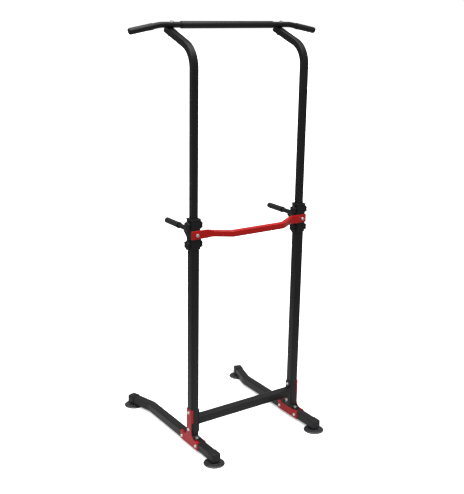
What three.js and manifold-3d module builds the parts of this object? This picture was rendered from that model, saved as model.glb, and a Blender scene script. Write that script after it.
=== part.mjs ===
// Adjustable power tower: two telescoping uprights on long sledge feet, a cross beam low down,
// a bent brace bar between two clamp sleeves that carry the dip handles, and a pull-up bar on top.
// Millimetres, +Z up, +Y towards the user's side (dip handles and pull-up bar), X from left to right.
import * as THREE from "three";
import { mergeVertices } from "three/addons/utils/BufferGeometryUtils.js";
import Module from "manifold-3d";

const wasm = await Module();
wasm.setup();
const { PI, cos, sin, tan } = Math;
const rad = THREE.MathUtils.degToRad;

// ---------------------------------------------------------------- driving dimensions
const GAP = 0.3; // clearance between pieces that touch
const UPRIGHT_SPACING = 730; // between the upright axes

// square tube of the feet, lower uprights and cross beam
const BIG_TUBE = 50;
const BIG_WALL = 2;
const BIG_CORNER = 5;
// square tube of the telescoping upper uprights
const SMALL_TUBE = 38;
const SMALL_WALL = 2;
const SMALL_CORNER = 4;

// feet
const FOOT_BOTTOM = 18; // underside of the foot tube above the floor
const FOOT_FRONT = 258; // upright axis to the front cap's face
const FOOT_STRAIGHT = 500; // upright axis to the corner where the rear end splays out
const FOOT_SPLAY = rad(16);
const SPLAY_LENGTH = 190; // from that corner to the rear cap's face
const FOOT_BEND_RADIUS = 120;
const CAP_LENGTH = 50;
const CAP_WALL = 2.3;
const CAP_END = 4;
const CUP_RADIUS = 62;
const CUP_RIM = 4; // flat ring that touches the floor
const CUP_SETBACK = 27; // cap face to the cup's centre
const CUP_STUD_RADIUS = 4;
const CUP_STUD_RISE = 8; // how far the stud stands inside the foot tube

// lower uprights and what is bolted to them
const UPRIGHT_TOP = 1380;
const FLANGE_THICK = 5;
const FLANGE_BOLT_INSET = 19; // upright's side to the flange bolts
const FLANGE_MARGIN = 18; // flange bolt to the flange's end
const BEAM_RISE = 102; // top of the foot to the cross beam's centre
const BEAM_BOLT_INSET = 29; // beam's top or underside to the upright bolts
const END_PLATE_THICK = 4;
const END_PLATE_MARGIN = 19; // upright bolt to the end plate's edge
const VENT_RADIUS = 4; // weld vent under the beam
const PLATE_THICK = 2.5; // stamped gussets and inner plates
const PLATE_MARGIN = 21; // bolt to the plate's end
const PLATE_LIP = 13; // folded over the foot or round the upright
const PLATE_TAB_LENGTH = 31; // each end's tab over the foot
const GUSSET_LIP_HEIGHT = 82;
const GUSSET_FILLET = 36;
const FOOT_BOLT_INSET = 51; // upright's side to the foot bolts

// clamp sleeves
const SLEEVE_LENGTH = 173;
const SLEEVE_CROWN = 8; // above the lower upright's end
const SLEEVE_WALL = 4.7;
const SLEEVE_CORNER = 8;
const COLLAR_THICK = 5;
const COLLAR_REACH = 3; // collar beyond the sleeve's sides
const UPPER_KNOB_DROP = 38; // below the sleeve's top
const KNOB_ROW_SPACING = 108;
const LINER_LENGTH = 140;

// star knobs
const KNOB_RADIUS = 27;
const KNOB_THICK = 15;
const KNOB_LOBES = 6;
const KNOB_SCALLOP = 5;
const KNOB_BEVEL = 2;
const KNOB_STUD_RADIUS = 5;
const KNOB_BOSS_RADIUS = 16;
const KNOB_BOSS_RISE = 3;

// dip handles
const HANDLE_DROP = 73; // below the sleeve's top
const HANDLE_RADIUS = 14;
const HANDLE_WALL = 2;
const HANDLE_END = 292; // upright axis to the tube's end
const HANDLE_SOCKET_LENGTH = 34;
const HANDLE_SOCKET_WALL = 4;
const HANDLE_RIB_THICK = 8;
const HANDLE_RIB_LENGTH = 72;
const HANDLE_RIB_EDGE = 5; // blunt corner at each end of the rib
const HANDLE_RIB_HEIGHT = 74;
const DIP_GRIP_START = 150;
const DIP_GRIP_RUBBER = 3.5;
const DIP_GRIP_COLLAR = 1.5;

// brace bar: a square tube pressed flat at its ends
const BRACE_DROP = 88; // below the sleeve's top
const BRACE_TUBE = 35;
const BRACE_WALL = 2;
const BRACE_CORNER = 5;
const BRACE_END_THICK = 12;
const BRACE_END_TALL = 48;
const BRACE_OVERHANG = 30; // past each upright axis
const BRACE_FLAT_INSET = 65; // upright axis to the end of the pressed flat
const BRACE_PRESS_LENGTH = 44; // along which the tube goes flat
const BRACE_BEND_INSET = 90; // upright axis to the outer bend
const BRACE_SLANT = 100; // outer bend to inner bend
const BRACE_BOW = 62; // how far the middle stands forward of the ends
const BRACE_EASE = 12; // half length of each bend

// upper frame
const HOLE_PITCH = 50;
const HOLES_ABOVE = 3; // adjusting holes above the upper knobs
const HOLES_BELOW = 1;
const TUBE_INSERTION = 260; // length of sliding tube inside the lower upright
const ARM_CORNER_RISE = 900; // lower upright's end to where the vertical and sloping axes meet
const ARM_BEND_RADIUS = 130;
const ARM_RISE = rad(20);
const ARM_LENGTH = 292; // from that corner to the tube's end
const BAR_SEAT = 260; // from that corner to the pull-up bar's bolt
const PLUG_DEPTH = 20;
const PLUG_HEAD = 4;
const BUSH_LENGTH = 40;
const BUSH_FLOOR = 4;

// pull-up bar
const BAR_RADIUS = 16;
const BAR_WALL = 2.5;
const BAR_STRAIGHT_OVERHANG = 68; // upright axis to the corner where the ends droop
const BAR_OVERHANG = 251; // upright axis to the bar's end
const BAR_DROOP = rad(10.5);
const BAR_BEND_RADIUS = 200;
const CENTRE_GRIP_INSET = 59; // upright axis to the centre grip's end
const CENTRE_GRIP_RUBBER = 4;
const END_GRIP_LENGTH = 144;
const END_GRIP_RUBBER = 2.2;
const GRIP_END = 4; // rubber past a tube's end

// bolts
const BOLT_RADIUS = 5;
const HEAD_RADIUS = 9.5;
const HEAD_THICK = 6.5;
const NUT_THICK = 8;
const THREAD_PAST_NUT = 2;

// facets
const ROUND = 16;
const STUD_SIDES = 8;
const BOLT_SIDES = 6;
const CORNER_STEPS = 1; // three.js doubles it round an arc
const SPLAY_STEPS = 3;
const ARM_STEPS = 6;
const DROOP_STEPS = 2;

// ---------------------------------------------------------------- derived places
// A faceted hole of this radius leaves the gap round a stud however the stud is turned.
const clearing = (radius, sides) => (radius + GAP) / cos(PI / sides);
const BOLT_HOLE = clearing(BOLT_RADIUS, BOLT_SIDES);
const STUD_HOLE = clearing(KNOB_STUD_RADIUS, STUD_SIDES);
const CUP_STUD_HOLE = clearing(CUP_STUD_RADIUS, BOLT_SIDES);
const FOOT_CENTRE = FOOT_BOTTOM + BIG_TUBE / 2;
const FOOT_TOP = FOOT_BOTTOM + BIG_TUBE;
const CAP_SIZE = BIG_TUBE + 2 * (GAP + CAP_WALL);
const CUP_TOP = FOOT_CENTRE - CAP_SIZE / 2 - GAP;
const BIG_BORE = BIG_TUBE - 2 * BIG_WALL;
const BEAM_HEIGHT = FOOT_TOP + BEAM_RISE;
const BEAM_BOLT_OFFSET = BIG_TUBE / 2 + BEAM_BOLT_INSET;
const FLANGE_BOLT_OFFSET = BIG_TUBE / 2 + FLANGE_BOLT_INSET;
const FLANGE_LENGTH = 2 * (FLANGE_BOLT_OFFSET + FLANGE_MARGIN);
const FOOT_BOLT_OFFSET = BIG_TUBE / 2 + FOOT_BOLT_INSET;
const PLATE_HALF_LENGTH = FOOT_BOLT_OFFSET + PLATE_MARGIN;
const GUSSET_LEG_TOP = BEAM_HEIGHT + BEAM_BOLT_OFFSET + PLATE_MARGIN;
const SLEEVE_TOP = UPRIGHT_TOP + SLEEVE_CROWN;
const SLEEVE_BOTTOM = SLEEVE_TOP - SLEEVE_LENGTH;
const UPPER_KNOB_HEIGHT = SLEEVE_TOP - UPPER_KNOB_DROP;
const LOWER_KNOB_HEIGHT = UPPER_KNOB_HEIGHT - KNOB_ROW_SPACING;
const HANDLE_HEIGHT = SLEEVE_TOP - HANDLE_DROP;
const BRACE_HEIGHT = SLEEVE_TOP - BRACE_DROP;
const SLEEVE_BORE = BIG_TUBE + 2 * GAP;
const SLEEVE_SIZE = SLEEVE_BORE + 2 * SLEEVE_WALL;
const UPRIGHT_SIDE = BIG_TUBE / 2;
const FOOT_BOLTS = [-FOOT_BOLT_OFFSET, FOOT_BOLT_OFFSET];
const FLANGE_BOLTS = [-FLANGE_BOLT_OFFSET, FLANGE_BOLT_OFFSET];
const UPRIGHT_BOLTS = [BEAM_HEIGHT - BEAM_BOLT_OFFSET, BEAM_HEIGHT + BEAM_BOLT_OFFSET];
const BRACE_END_DEPTH = SLEEVE_SIZE / 2 + GAP + BRACE_END_THICK / 2;
const BRACE_REACH = UPRIGHT_SPACING / 2 + BRACE_OVERHANG;
const BRACE_FLAT_END = UPRIGHT_SPACING / 2 - BRACE_FLAT_INSET;
const BRACE_PRESS_START = BRACE_FLAT_END - BRACE_PRESS_LENGTH;
const BRACE_OUTER_BEND = UPRIGHT_SPACING / 2 - BRACE_BEND_INSET;
const BRACE_INNER_BEND = BRACE_OUTER_BEND - BRACE_SLANT;
const HANDLE_SOCKET_END = SLEEVE_SIZE / 2 + HANDLE_SOCKET_LENGTH;
const LINER_TOP = UPRIGHT_TOP - GAP;
const UPPER_TUBE_BOTTOM = UPRIGHT_TOP - TUBE_INSERTION;
const ARM_CORNER_HEIGHT = UPRIGHT_TOP + ARM_CORNER_RISE;
const BAR_HALF_STRAIGHT = UPRIGHT_SPACING / 2 + BAR_STRAIGHT_OVERHANG;
const BAR_HALF_LENGTH = UPRIGHT_SPACING / 2 + BAR_OVERHANG;
const CENTRE_GRIP_HALF = UPRIGHT_SPACING / 2 - CENTRE_GRIP_INSET;
const BAR_OFFSET = SMALL_TUBE / 2 + GAP + BAR_RADIUS; // arm axis to bar axis
const BAR_CENTRE_Y = BAR_SEAT * cos(ARM_RISE) - BAR_OFFSET * sin(ARM_RISE);
const BAR_CENTRE_Z = ARM_CORNER_HEIGHT + BAR_SEAT * sin(ARM_RISE) + BAR_OFFSET * cos(ARM_RISE);
const REAR_CUP_Y = FOOT_STRAIGHT + (SPLAY_LENGTH - CUP_SETBACK) * cos(FOOT_SPLAY);
const FRONT_EDGE = -FOOT_FRONT + CUP_SETBACK - CUP_RADIUS;
const REAR_EDGE = REAR_CUP_Y + CUP_RADIUS;

// ---------------------------------------------------------------- finishes
const finish = (color, roughness, metalness) =>
  new THREE.MeshStandardMaterial({ color, roughness, metalness });
const blackSteel = finish(0x242424, 0.42, 0.25);
const blackRubber = finish(0x1c1c1d, 0.85, 0);
const greyRubber = finish(0x3a3b3d, 0.7, 0);
const blackPlastic = finish(0x202022, 0.55, 0);
const redSteel = finish(0xc0221b, 0.38, 0.2);
const zinc = finish(0xc9c9c4, 0.35, 0.9);

// ---------------------------------------------------------------- solids
function toSolid(geometry) {
  const bare = geometry.clone();
  bare.deleteAttribute("normal");
  bare.deleteAttribute("uv");
  const merged = mergeVertices(bare, 1e-3);
  const vertProperties = merged.attributes.position.array;
  const triVerts = new Uint32Array(merged.index.array);
  return new wasm.Manifold(new wasm.Mesh({ numProp: 3, vertProperties, triVerts }));
}

function toGeometry(solid) {
  const { vertProperties, triVerts } = solid.getMesh();
  const geometry = new THREE.BufferGeometry();
  geometry.setAttribute("position", new THREE.BufferAttribute(vertProperties, 3));
  geometry.setIndex(new THREE.BufferAttribute(triVerts, 1));
  return geometry;
}

// Joins the first list of geometries and cuts the second list from them.
function build(joined, cuts = []) {
  const [first, ...rest] = joined.map(toSolid);
  const whole = rest.reduce((sum, solid) => sum.add(solid), first);
  return toGeometry(cuts.map(toSolid).reduce((left, cut) => left.subtract(cut), whole));
}

function roundedSquare(width, radius, height = width) {
  const x = width / 2 - radius;
  const y = height / 2 - radius;
  const shape = new THREE.Shape();
  shape.absarc(x, y, radius, 0, PI / 2, false);
  shape.absarc(-x, y, radius, PI / 2, PI, false);
  shape.absarc(-x, -y, radius, PI, 1.5 * PI, false);
  shape.absarc(x, -y, radius, 1.5 * PI, 2 * PI, false);
  return shape;
}

function squareHole(size) {
  const half = size / 2;
  const corners = [[-half, -half], [-half, half], [half, half], [half, -half]];
  return new THREE.Path(corners.map(([x, y]) => new THREE.Vector2(x, y)));
}

function squareTube(size, wall, corner) {
  const shape = roundedSquare(size, corner);
  shape.holes.push(squareHole(size - 2 * wall));
  return shape;
}

function roundTube(radius, wall) {
  const shape = new THREE.Shape().absarc(0, 0, radius, 0, 2 * PI, false);
  shape.holes.push(new THREE.Path().absarc(0, 0, radius - wall, 0, 2 * PI, true));
  return shape;
}

// A shape pushed up from z = low to z = high, its edges optionally bevelled inwards.
function prism(shape, low, high, { bevel = 0, curveSegments = CORNER_STEPS } = {}) {
  const options = {
    depth: high - low - 2 * bevel,
    bevelEnabled: bevel > 0,
    bevelThickness: bevel,
    bevelSize: bevel,
    bevelOffset: -bevel,
    bevelSegments: 1,
    curveSegments,
  };
  return new THREE.ExtrudeGeometry(shape, options).translate(0, 0, low + bevel);
}

const block = (x, y, z, cx, cy, cz) => new THREE.BoxGeometry(x, y, z).translate(cx, cy, cz);
const alongX = (geometry) => geometry.rotateY(PI / 2); // +Z turns to +X
const alongY = (geometry) => geometry.rotateX(-PI / 2); // +Z turns to +Y

function rod(radius, low, high, sides = ROUND) {
  const tall = new THREE.CylinderGeometry(radius, radius, high - low, sides);
  return tall.rotateX(PI / 2).translate(0, 0, (low + high) / 2);
}

// A profile of [radius, height] pairs turned round the Z axis.
function revolve(profile) {
  const points = profile.map(([radius, height]) => new THREE.Vector2(radius, height));
  return new THREE.LatheGeometry(points, ROUND).rotateX(PI / 2);
}

// An outline drawn in (y, z), pushed out along X from one x to another.
function plate(outline, from, to) {
  const turned = new THREE.Matrix4().makeBasis(
    new THREE.Vector3(0, 1, 0),
    new THREE.Vector3(0, 0, 1),
    new THREE.Vector3(1, 0, 0),
  );
  return prism(outline, from, to, { curveSegments: 3 }).applyMatrix4(turned);
}

// Holes along X through both walls of a tube: for a bolt, and for a knob's stud.
const boltAcross = (reach, y, z) =>
  alongX(rod(BOLT_HOLE, -reach, reach, BOLT_SIDES)).translate(0, y, z);
const studAcross = (reach, z) => alongX(rod(STUD_HOLE, -reach, reach, STUD_SIDES)).translate(0, 0, z);

// A path that is sampled only at its stations, each a point with the direction there.
class StationPath extends THREE.Curve {
  constructor(stations) {
    super();
    this.stations = stations;
    this.steps = stations.length - 1;
  }

  getUtoTmapping(u) {
    return u;
  }

  getPoint(t) {
    const place = t * this.steps;
    const i = Math.min(Math.floor(place + 1e-6), this.steps - 1);
    return this.stations[i].point.clone().lerp(this.stations[i + 1].point, place - i);
  }

  getTangent(t) {
    return this.stations[Math.round(t * this.steps)].tangent.clone();
  }
}

// Stations round one bend of a tube, from the end of the leg into it to the start of the leg out.
function bendStations(corner, into, out, radius, steps) {
  const turn = into.angleTo(out);
  const axis = new THREE.Vector3().crossVectors(into, out).normalize();
  const start = corner.clone().addScaledVector(into, -radius * tan(turn / 2));
  const centre = start.clone().addScaledVector(new THREE.Vector3().crossVectors(axis, into), radius);
  return Array.from({ length: steps + 1 }, (_, k) => {
    const angle = (turn * k) / steps;
    const point = start.clone().sub(centre).applyAxisAngle(axis, angle).add(centre);
    return { point, tangent: into.clone().applyAxisAngle(axis, angle) };
  });
}

// Straight legs between corners, joined by round bends.
function bentPath(corners, radius, steps) {
  const legs = corners.slice(1).map((corner, i) => corner.clone().sub(corners[i]).normalize());
  const bends = legs.slice(1).flatMap((out, i) => bendStations(corners[i + 1], legs[i], out, radius, steps));
  const first = { point: corners[0], tangent: legs[0] };
  const last = { point: corners.at(-1), tangent: legs.at(-1) };
  return new StationPath([first, ...bends, last]);
}

function sweep(shape, path, curveSegments) {
  const options = { extrudePath: path, steps: path.steps, curveSegments, bevelEnabled: false };
  return new THREE.ExtrudeGeometry(shape, options);
}

// ---------------------------------------------------------------- feet
function footTube(side) {
  const length = SPLAY_LENGTH - CAP_END - GAP;
  const bend = new THREE.Vector3(0, FOOT_STRAIGHT, FOOT_CENTRE);
  const outwards = new THREE.Vector3(side * sin(FOOT_SPLAY), cos(FOOT_SPLAY), 0);
  const corners = [
    new THREE.Vector3(0, -FOOT_FRONT + CAP_END + GAP, FOOT_CENTRE),
    bend,
    bend.clone().addScaledVector(outwards, length),
  ];
  const path = bentPath(corners, FOOT_BEND_RADIUS, SPLAY_STEPS);
  const tube = sweep(squareTube(BIG_TUBE, BIG_WALL, BIG_CORNER), path, CORNER_STEPS);
  const bolts = FOOT_BOLTS.map((y) => boltAcross(BIG_TUBE, y, FOOT_CENTRE));
  const flange = FLANGE_BOLTS.map((y) => rod(BOLT_HOLE, 0, 2 * FOOT_TOP, BOLT_SIDES).translate(0, y, 0));
  const studs = cupPlaces(side).map(([x, y]) =>
    rod(CUP_STUD_HOLE, 0, FOOT_CENTRE, BOLT_SIDES).translate(x, y, 0),
  );
  return build([tube], [...bolts, ...flange, ...studs]);
}

// Centres of the front and rear suction cups of one foot.
function cupPlaces(side) {
  const reach = SPLAY_LENGTH - CUP_SETBACK;
  return [[0, -FOOT_FRONT + CUP_SETBACK], [side * reach * sin(FOOT_SPLAY), REAR_CUP_Y]];
}

// Sleeve cap over a tube's end; its closed face is at y = 0 and its mouth faces -Y.
function footCap() {
  const outer = alongY(prism(roundedSquare(CAP_SIZE, BIG_CORNER + CAP_WALL), -CAP_LENGTH, 0, { bevel: 2 }));
  const pocketShape = roundedSquare(BIG_TUBE + 2 * GAP, BIG_CORNER + GAP);
  const pocket = alongY(prism(pocketShape, -CAP_LENGTH - 1, -CAP_END));
  const hole = rod(CUP_STUD_HOLE, -CAP_SIZE, 0, BOLT_SIDES).translate(0, -CUP_SETBACK, 0);
  return build([outer], [pocket, hole]);
}

// Rubber cup, hollow underneath, with its moulded-in stud.
function suctionCup() {
  const neck = 15;
  const profile = [
    [0, 7.5], [CUP_RADIUS * 0.6, 5], [CUP_RADIUS - CUP_RIM, 0], [CUP_RADIUS, 0],
    [CUP_RADIUS, 2], [CUP_RADIUS * 0.85, 6.5], [CUP_RADIUS * 0.5, 10], [neck, CUP_TOP], [0, CUP_TOP],
  ];
  const stud = rod(CUP_STUD_RADIUS, CUP_TOP - 1, FOOT_BOTTOM + BIG_WALL + CUP_STUD_RISE, BOLT_SIDES);
  return build([revolve(profile), stud]);
}

// ---------------------------------------------------------------- lower frame
function lowerUpright() {
  const foot = FOOT_TOP + GAP;
  const tube = prism(squareTube(BIG_TUBE, BIG_WALL, BIG_CORNER), foot, UPRIGHT_TOP);
  const flangeShape = roundedSquare(BIG_TUBE, BIG_CORNER, FLANGE_LENGTH);
  flangeShape.holes.push(squareHole(BIG_BORE));
  const flange = prism(flangeShape, foot, foot + FLANGE_THICK);
  const cuts = [
    ...FLANGE_BOLTS.map((y) => rod(BOLT_HOLE, 0, 2 * FOOT_TOP, BOLT_SIDES).translate(0, y, 0)),
    ...UPRIGHT_BOLTS.map((z) => boltAcross(BIG_TUBE, 0, z)),
    studAcross(BIG_TUBE, UPPER_KNOB_HEIGHT),
    alongY(rod(BOLT_HOLE, -BIG_TUBE, 0, BOLT_SIDES)).translate(0, 0, BRACE_HEIGHT),
  ];
  return build([tube, flange], cuts);
}

// Stamped plate outline in (y, z): a bar along the foot, with a leg up the upright if legTop is set.
function plateOutline(legTop) {
  const low = FOOT_BOTTOM;
  const high = FOOT_TOP + GAP;
  const end = PLATE_HALF_LENGTH;
  const leg = UPRIGHT_SIDE + GAP;
  const shape = new THREE.Shape();
  shape.moveTo(-end, low);
  shape.lineTo(end, low);
  shape.lineTo(end, high);
  if (legTop) {
    shape.lineTo(leg + GUSSET_FILLET, high);
    shape.absarc(leg + GUSSET_FILLET, high + GUSSET_FILLET, GUSSET_FILLET, 1.5 * PI, PI, true);
    shape.lineTo(leg, legTop);
    shape.lineTo(-leg, legTop);
    shape.absarc(-leg - GUSSET_FILLET, high + GUSSET_FILLET, GUSSET_FILLET, 0, -PI / 2, true);
  }
  shape.lineTo(-end, high);
  return shape;
}


// Tabs that fold from a plate over the top of the foot: from is the plate's outer face.
function footTabs(from, inwards) {
  return [-1, 1].map((end) => {
    const y = end * (PLATE_HALF_LENGTH - PLATE_TAB_LENGTH / 2);
    const z = FOOT_TOP + GAP + PLATE_THICK / 2;
    return block(PLATE_LIP, PLATE_TAB_LENGTH, PLATE_THICK, from + (inwards * PLATE_LIP) / 2, y, z);
  });
}

// T-shaped gusset on the outer side (+X here) of foot and upright.
function outerGusset() {
  const face = UPRIGHT_SIDE + GAP;
  const lips = [-1, 1].map((end) =>
    block(
      PLATE_LIP,
      PLATE_THICK,
      GUSSET_LIP_HEIGHT,
      face + PLATE_THICK - PLATE_LIP / 2,
      end * (UPRIGHT_SIDE + GAP + PLATE_THICK / 2),
      GUSSET_LEG_TOP - GUSSET_LIP_HEIGHT / 2,
    ),
  );
  const bolts = [
    ...FOOT_BOLTS.map((y) => boltAcross(BIG_TUBE, y, FOOT_CENTRE)),
    ...UPRIGHT_BOLTS.map((z) => boltAcross(BIG_TUBE, 0, z)),
  ];
  const web = plate(plateOutline(GUSSET_LEG_TOP), face, face + PLATE_THICK);
  return build([web, ...footTabs(face + PLATE_THICK, -1), ...lips], bolts);
}

// Straight plate on the inner side (-X here) of the foot.
function innerPlate() {
  const face = -UPRIGHT_SIDE - GAP - PLATE_THICK;
  const bolts = FOOT_BOLTS.map((y) => boltAcross(BIG_TUBE, y, FOOT_CENTRE));
  return build([plate(plateOutline(), face, face + PLATE_THICK), ...footTabs(face, 1)], bolts);
}

function crossBeam() {
  const reach = UPRIGHT_SPACING / 2 - UPRIGHT_SIDE - GAP;
  const inside = reach - END_PLATE_THICK;
  const tube = alongX(prism(squareTube(BIG_TUBE, BIG_WALL, BIG_CORNER), -inside - 1, inside + 1));
  const tall = 2 * (BEAM_BOLT_OFFSET + END_PLATE_MARGIN);
  const plateShape = roundedSquare(tall, BIG_CORNER, BIG_TUBE);
  const plates = [-1, 1].map((end) => {
    const middle = end * (reach - END_PLATE_THICK / 2);
    return alongX(prism(plateShape, middle - END_PLATE_THICK / 2, middle + END_PLATE_THICK / 2));
  });
  const bolts = UPRIGHT_BOLTS.map((z) => boltAcross(UPRIGHT_SPACING, 0, z - BEAM_HEIGHT));
  const vent = rod(VENT_RADIUS, -BIG_TUBE, 0, STUD_SIDES).translate(inside / 2, 0, 0);
  return build([tube, ...plates], [...bolts, vent]).translate(0, 0, BEAM_HEIGHT);
}

// Plastic guide between the lower upright's bore and the sliding tube.
function guideLiner() {
  const shape = roundedSquare(BIG_BORE - 2 * GAP, 1);
  shape.holes.push(squareHole(SMALL_TUBE + 2 * GAP));
  const liner = prism(shape, LINER_TOP - LINER_LENGTH, LINER_TOP);
  return build([liner], [studAcross(BIG_TUBE, UPPER_KNOB_HEIGHT)]);
}

// ---------------------------------------------------------------- sleeve, handle and knobs
function handleRib() {
  const shape = new THREE.Shape();
  const root = SLEEVE_SIZE / 2 - 1;
  const top = HANDLE_HEIGHT - HANDLE_RADIUS - 2 * GAP;
  const tip = SLEEVE_SIZE / 2 + HANDLE_RIB_LENGTH;
  const foot = top - HANDLE_RIB_HEIGHT;
  shape.moveTo(root, foot);
  shape.lineTo(root + HANDLE_RIB_EDGE, foot);
  shape.quadraticCurveTo((root + tip) / 2 - HANDLE_RIB_EDGE, (foot + top) / 2, tip, top - HANDLE_RIB_EDGE);
  shape.lineTo(tip, top);
  shape.lineTo(root, top);
  return plate(shape, -HANDLE_RIB_THICK / 2, HANDLE_RIB_THICK / 2);
}

function sleeve() {
  const body = prism(roundedSquare(SLEEVE_SIZE, SLEEVE_CORNER), SLEEVE_BOTTOM, SLEEVE_TOP - 1);
  const collarSize = SLEEVE_SIZE + 2 * COLLAR_REACH;
  const collarShape = roundedSquare(collarSize, SLEEVE_CORNER + COLLAR_REACH);
  const collar = prism(collarShape, SLEEVE_TOP - COLLAR_THICK, SLEEVE_TOP, { bevel: 1.2 });
  const bossReach = SLEEVE_SIZE / 2 + KNOB_BOSS_RISE;
  const bosses = [UPPER_KNOB_HEIGHT, LOWER_KNOB_HEIGHT].map((z) =>
    alongX(rod(KNOB_BOSS_RADIUS, -bossReach, bossReach)).translate(0, 0, z),
  );
  const socketRadius = HANDLE_RADIUS + GAP + HANDLE_SOCKET_WALL;
  const socket = alongY(rod(socketRadius, 0, HANDLE_SOCKET_END)).translate(0, 0, HANDLE_HEIGHT);
  const cuts = [
    prism(roundedSquare(SLEEVE_BORE, BIG_CORNER), SLEEVE_BOTTOM - 1, UPRIGHT_TOP + GAP),
    prism(roundedSquare(SMALL_TUBE + 2 * GAP, SMALL_CORNER), SLEEVE_BOTTOM, SLEEVE_TOP + 1),
    alongY(rod(HANDLE_RADIUS + GAP, BIG_TUBE / 2 + 2, HANDLE_SOCKET_END + 1)).translate(0, 0, HANDLE_HEIGHT),
    alongY(rod(BOLT_HOLE, -SLEEVE_SIZE, 0, BOLT_SIDES)).translate(0, 0, BRACE_HEIGHT),
    ...[UPPER_KNOB_HEIGHT, LOWER_KNOB_HEIGHT].map((z) =>
      studAcross(SLEEVE_SIZE, z),
    ),
  ];
  return build([body, collar, ...bosses, socket, handleRib()], cuts);
}

function dipHandle() {
  const start = BIG_TUBE / 2 + 2 + GAP;
  const tube = prism(roundTube(HANDLE_RADIUS, HANDLE_WALL), start, HANDLE_END, { curveSegments: ROUND / 2 });
  return build([alongY(tube).translate(0, 0, HANDLE_HEIGHT)]);
}

// Rubber grip pulled over a tube: a closed round end, and a collar ring at its mouth.
function gripProfile(tubeRadius, rubber, length, collar) {
  const bore = tubeRadius + GAP;
  const outer = tubeRadius + rubber;
  const round = outer * 0.45;
  const mouth = collar > 0 ? [[outer + collar, 0], [outer + collar, 8], [outer, 10]] : [[outer, 0]];
  const dome = [0, 1, 2].map((k) => {
    const angle = (k * PI) / 4;
    return [outer - round + round * cos(angle), length - round + round * sin(angle)];
  });
  return [[0, length - GRIP_END], [bore, length - GRIP_END], [bore, 0], ...mouth, ...dome, [0, length]];
}

function dipGrip() {
  const length = HANDLE_END + GAP + GRIP_END - DIP_GRIP_START;
  const grip = revolve(gripProfile(HANDLE_RADIUS, DIP_GRIP_RUBBER, length, DIP_GRIP_COLLAR));
  return build([alongY(grip).translate(0, DIP_GRIP_START, HANDLE_HEIGHT)]);
}

// Star knob along +Z with its seat at z = 0 and a stud that runs back by studLength.
function starKnob(studLength) {
  const count = KNOB_LOBES * 4;
  const points = Array.from({ length: count }, (_, i) => {
    const angle = (2 * PI * i) / count;
    const radius = KNOB_RADIUS - (KNOB_SCALLOP * (1 - cos(KNOB_LOBES * angle))) / 2;
    return new THREE.Vector2(radius * cos(angle), radius * sin(angle));
  });
  const head = prism(new THREE.Shape(points), 0, KNOB_THICK, { bevel: KNOB_BEVEL });
  return build([head, rod(KNOB_STUD_RADIUS, -studLength, KNOB_BEVEL, STUD_SIDES)]);
}

// ---------------------------------------------------------------- brace bar
const smooth = (t) => {
  const held = Math.min(Math.max(t, 0), 1);
  return held * held * (3 - 2 * held);
};

// How far the bar stands forward at a distance from its middle: straight lines with eased corners.
function braceBow(x) {
  const eased = (t) => (t + BRACE_EASE) ** 2 / (4 * BRACE_EASE);
  const ramp = (t) => (Math.abs(t) < BRACE_EASE ? eased(t) : Math.max(t, 0));
  const slope = BRACE_BOW / (BRACE_OUTER_BEND - BRACE_INNER_BEND);
  return BRACE_BOW - slope * (ramp(x - BRACE_INNER_BEND) - ramp(x - BRACE_OUTER_BEND));
}

// Evenly spread numbers from one value to another.
const spread = (from, to, steps) =>
  Array.from({ length: steps + 1 }, (_, k) => from + ((to - from) * k) / steps);

function braceBar() {
  const half = [
    ...spread(BRACE_INNER_BEND - BRACE_EASE, BRACE_INNER_BEND + BRACE_EASE, 2),
    ...spread(BRACE_PRESS_START, BRACE_FLAT_END, 3),
    BRACE_REACH,
  ];
  const places = [...half.map((x) => -x).reverse(), ...half];
  const up = new THREE.Vector3(0, 0, 1);
  const path = new StationPath(places.map((x) => ({ point: up.clone().multiplyScalar(x), tangent: up })));
  const bar = alongX(sweep(squareTube(BRACE_TUBE, BRACE_WALL, BRACE_CORNER), path, CORNER_STEPS));
  const position = bar.attributes.position;
  for (let i = 0; i < position.count; i += 1) {
    const x = position.getX(i);
    const y = position.getY(i);
    const z = position.getZ(i);
    const flat = smooth((Math.abs(x) - BRACE_PRESS_START) / (BRACE_FLAT_END - BRACE_PRESS_START));
    const thinner = (flat * (BRACE_TUBE - BRACE_END_THICK)) / 2;
    const taller = (flat * (BRACE_END_TALL - BRACE_TUBE)) / 2;
    position.setY(i, Math.sign(y) * (Math.abs(y) - thinner) - BRACE_END_DEPTH - braceBow(Math.abs(x)));
    position.setZ(i, Math.sign(z) * (Math.abs(z) + taller) + BRACE_HEIGHT);
  }
  const holes = [-1, 1].map((side) => {
    const hole = alongY(rod(BOLT_HOLE, -2 * BIG_TUBE, 0, BOLT_SIDES));
    return hole.translate((side * UPRIGHT_SPACING) / 2, 0, BRACE_HEIGHT);
  });
  return build([bar], holes);
}

// ---------------------------------------------------------------- upper frame
function upperUpright() {
  const along = new THREE.Vector3(0, cos(ARM_RISE), sin(ARM_RISE));
  const corner = new THREE.Vector3(0, 0, ARM_CORNER_HEIGHT);
  const corners = [
    new THREE.Vector3(0, 0, UPPER_TUBE_BOTTOM),
    corner,
    corner.clone().addScaledVector(along, ARM_LENGTH),
  ];
  const path = bentPath(corners, ARM_BEND_RADIUS, ARM_STEPS);
  const tube = sweep(squareTube(SMALL_TUBE, SMALL_WALL, SMALL_CORNER), path, CORNER_STEPS);
  const row = Array.from({ length: HOLES_ABOVE + HOLES_BELOW + 1 }, (_, i) => {
    const z = UPPER_KNOB_HEIGHT + (i - HOLES_BELOW) * HOLE_PITCH;
    return studAcross(SMALL_TUBE, z);
  });
  return build([tube], [...row, barBoltHole(-SMALL_TUBE, SMALL_TUBE)]);
}

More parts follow.
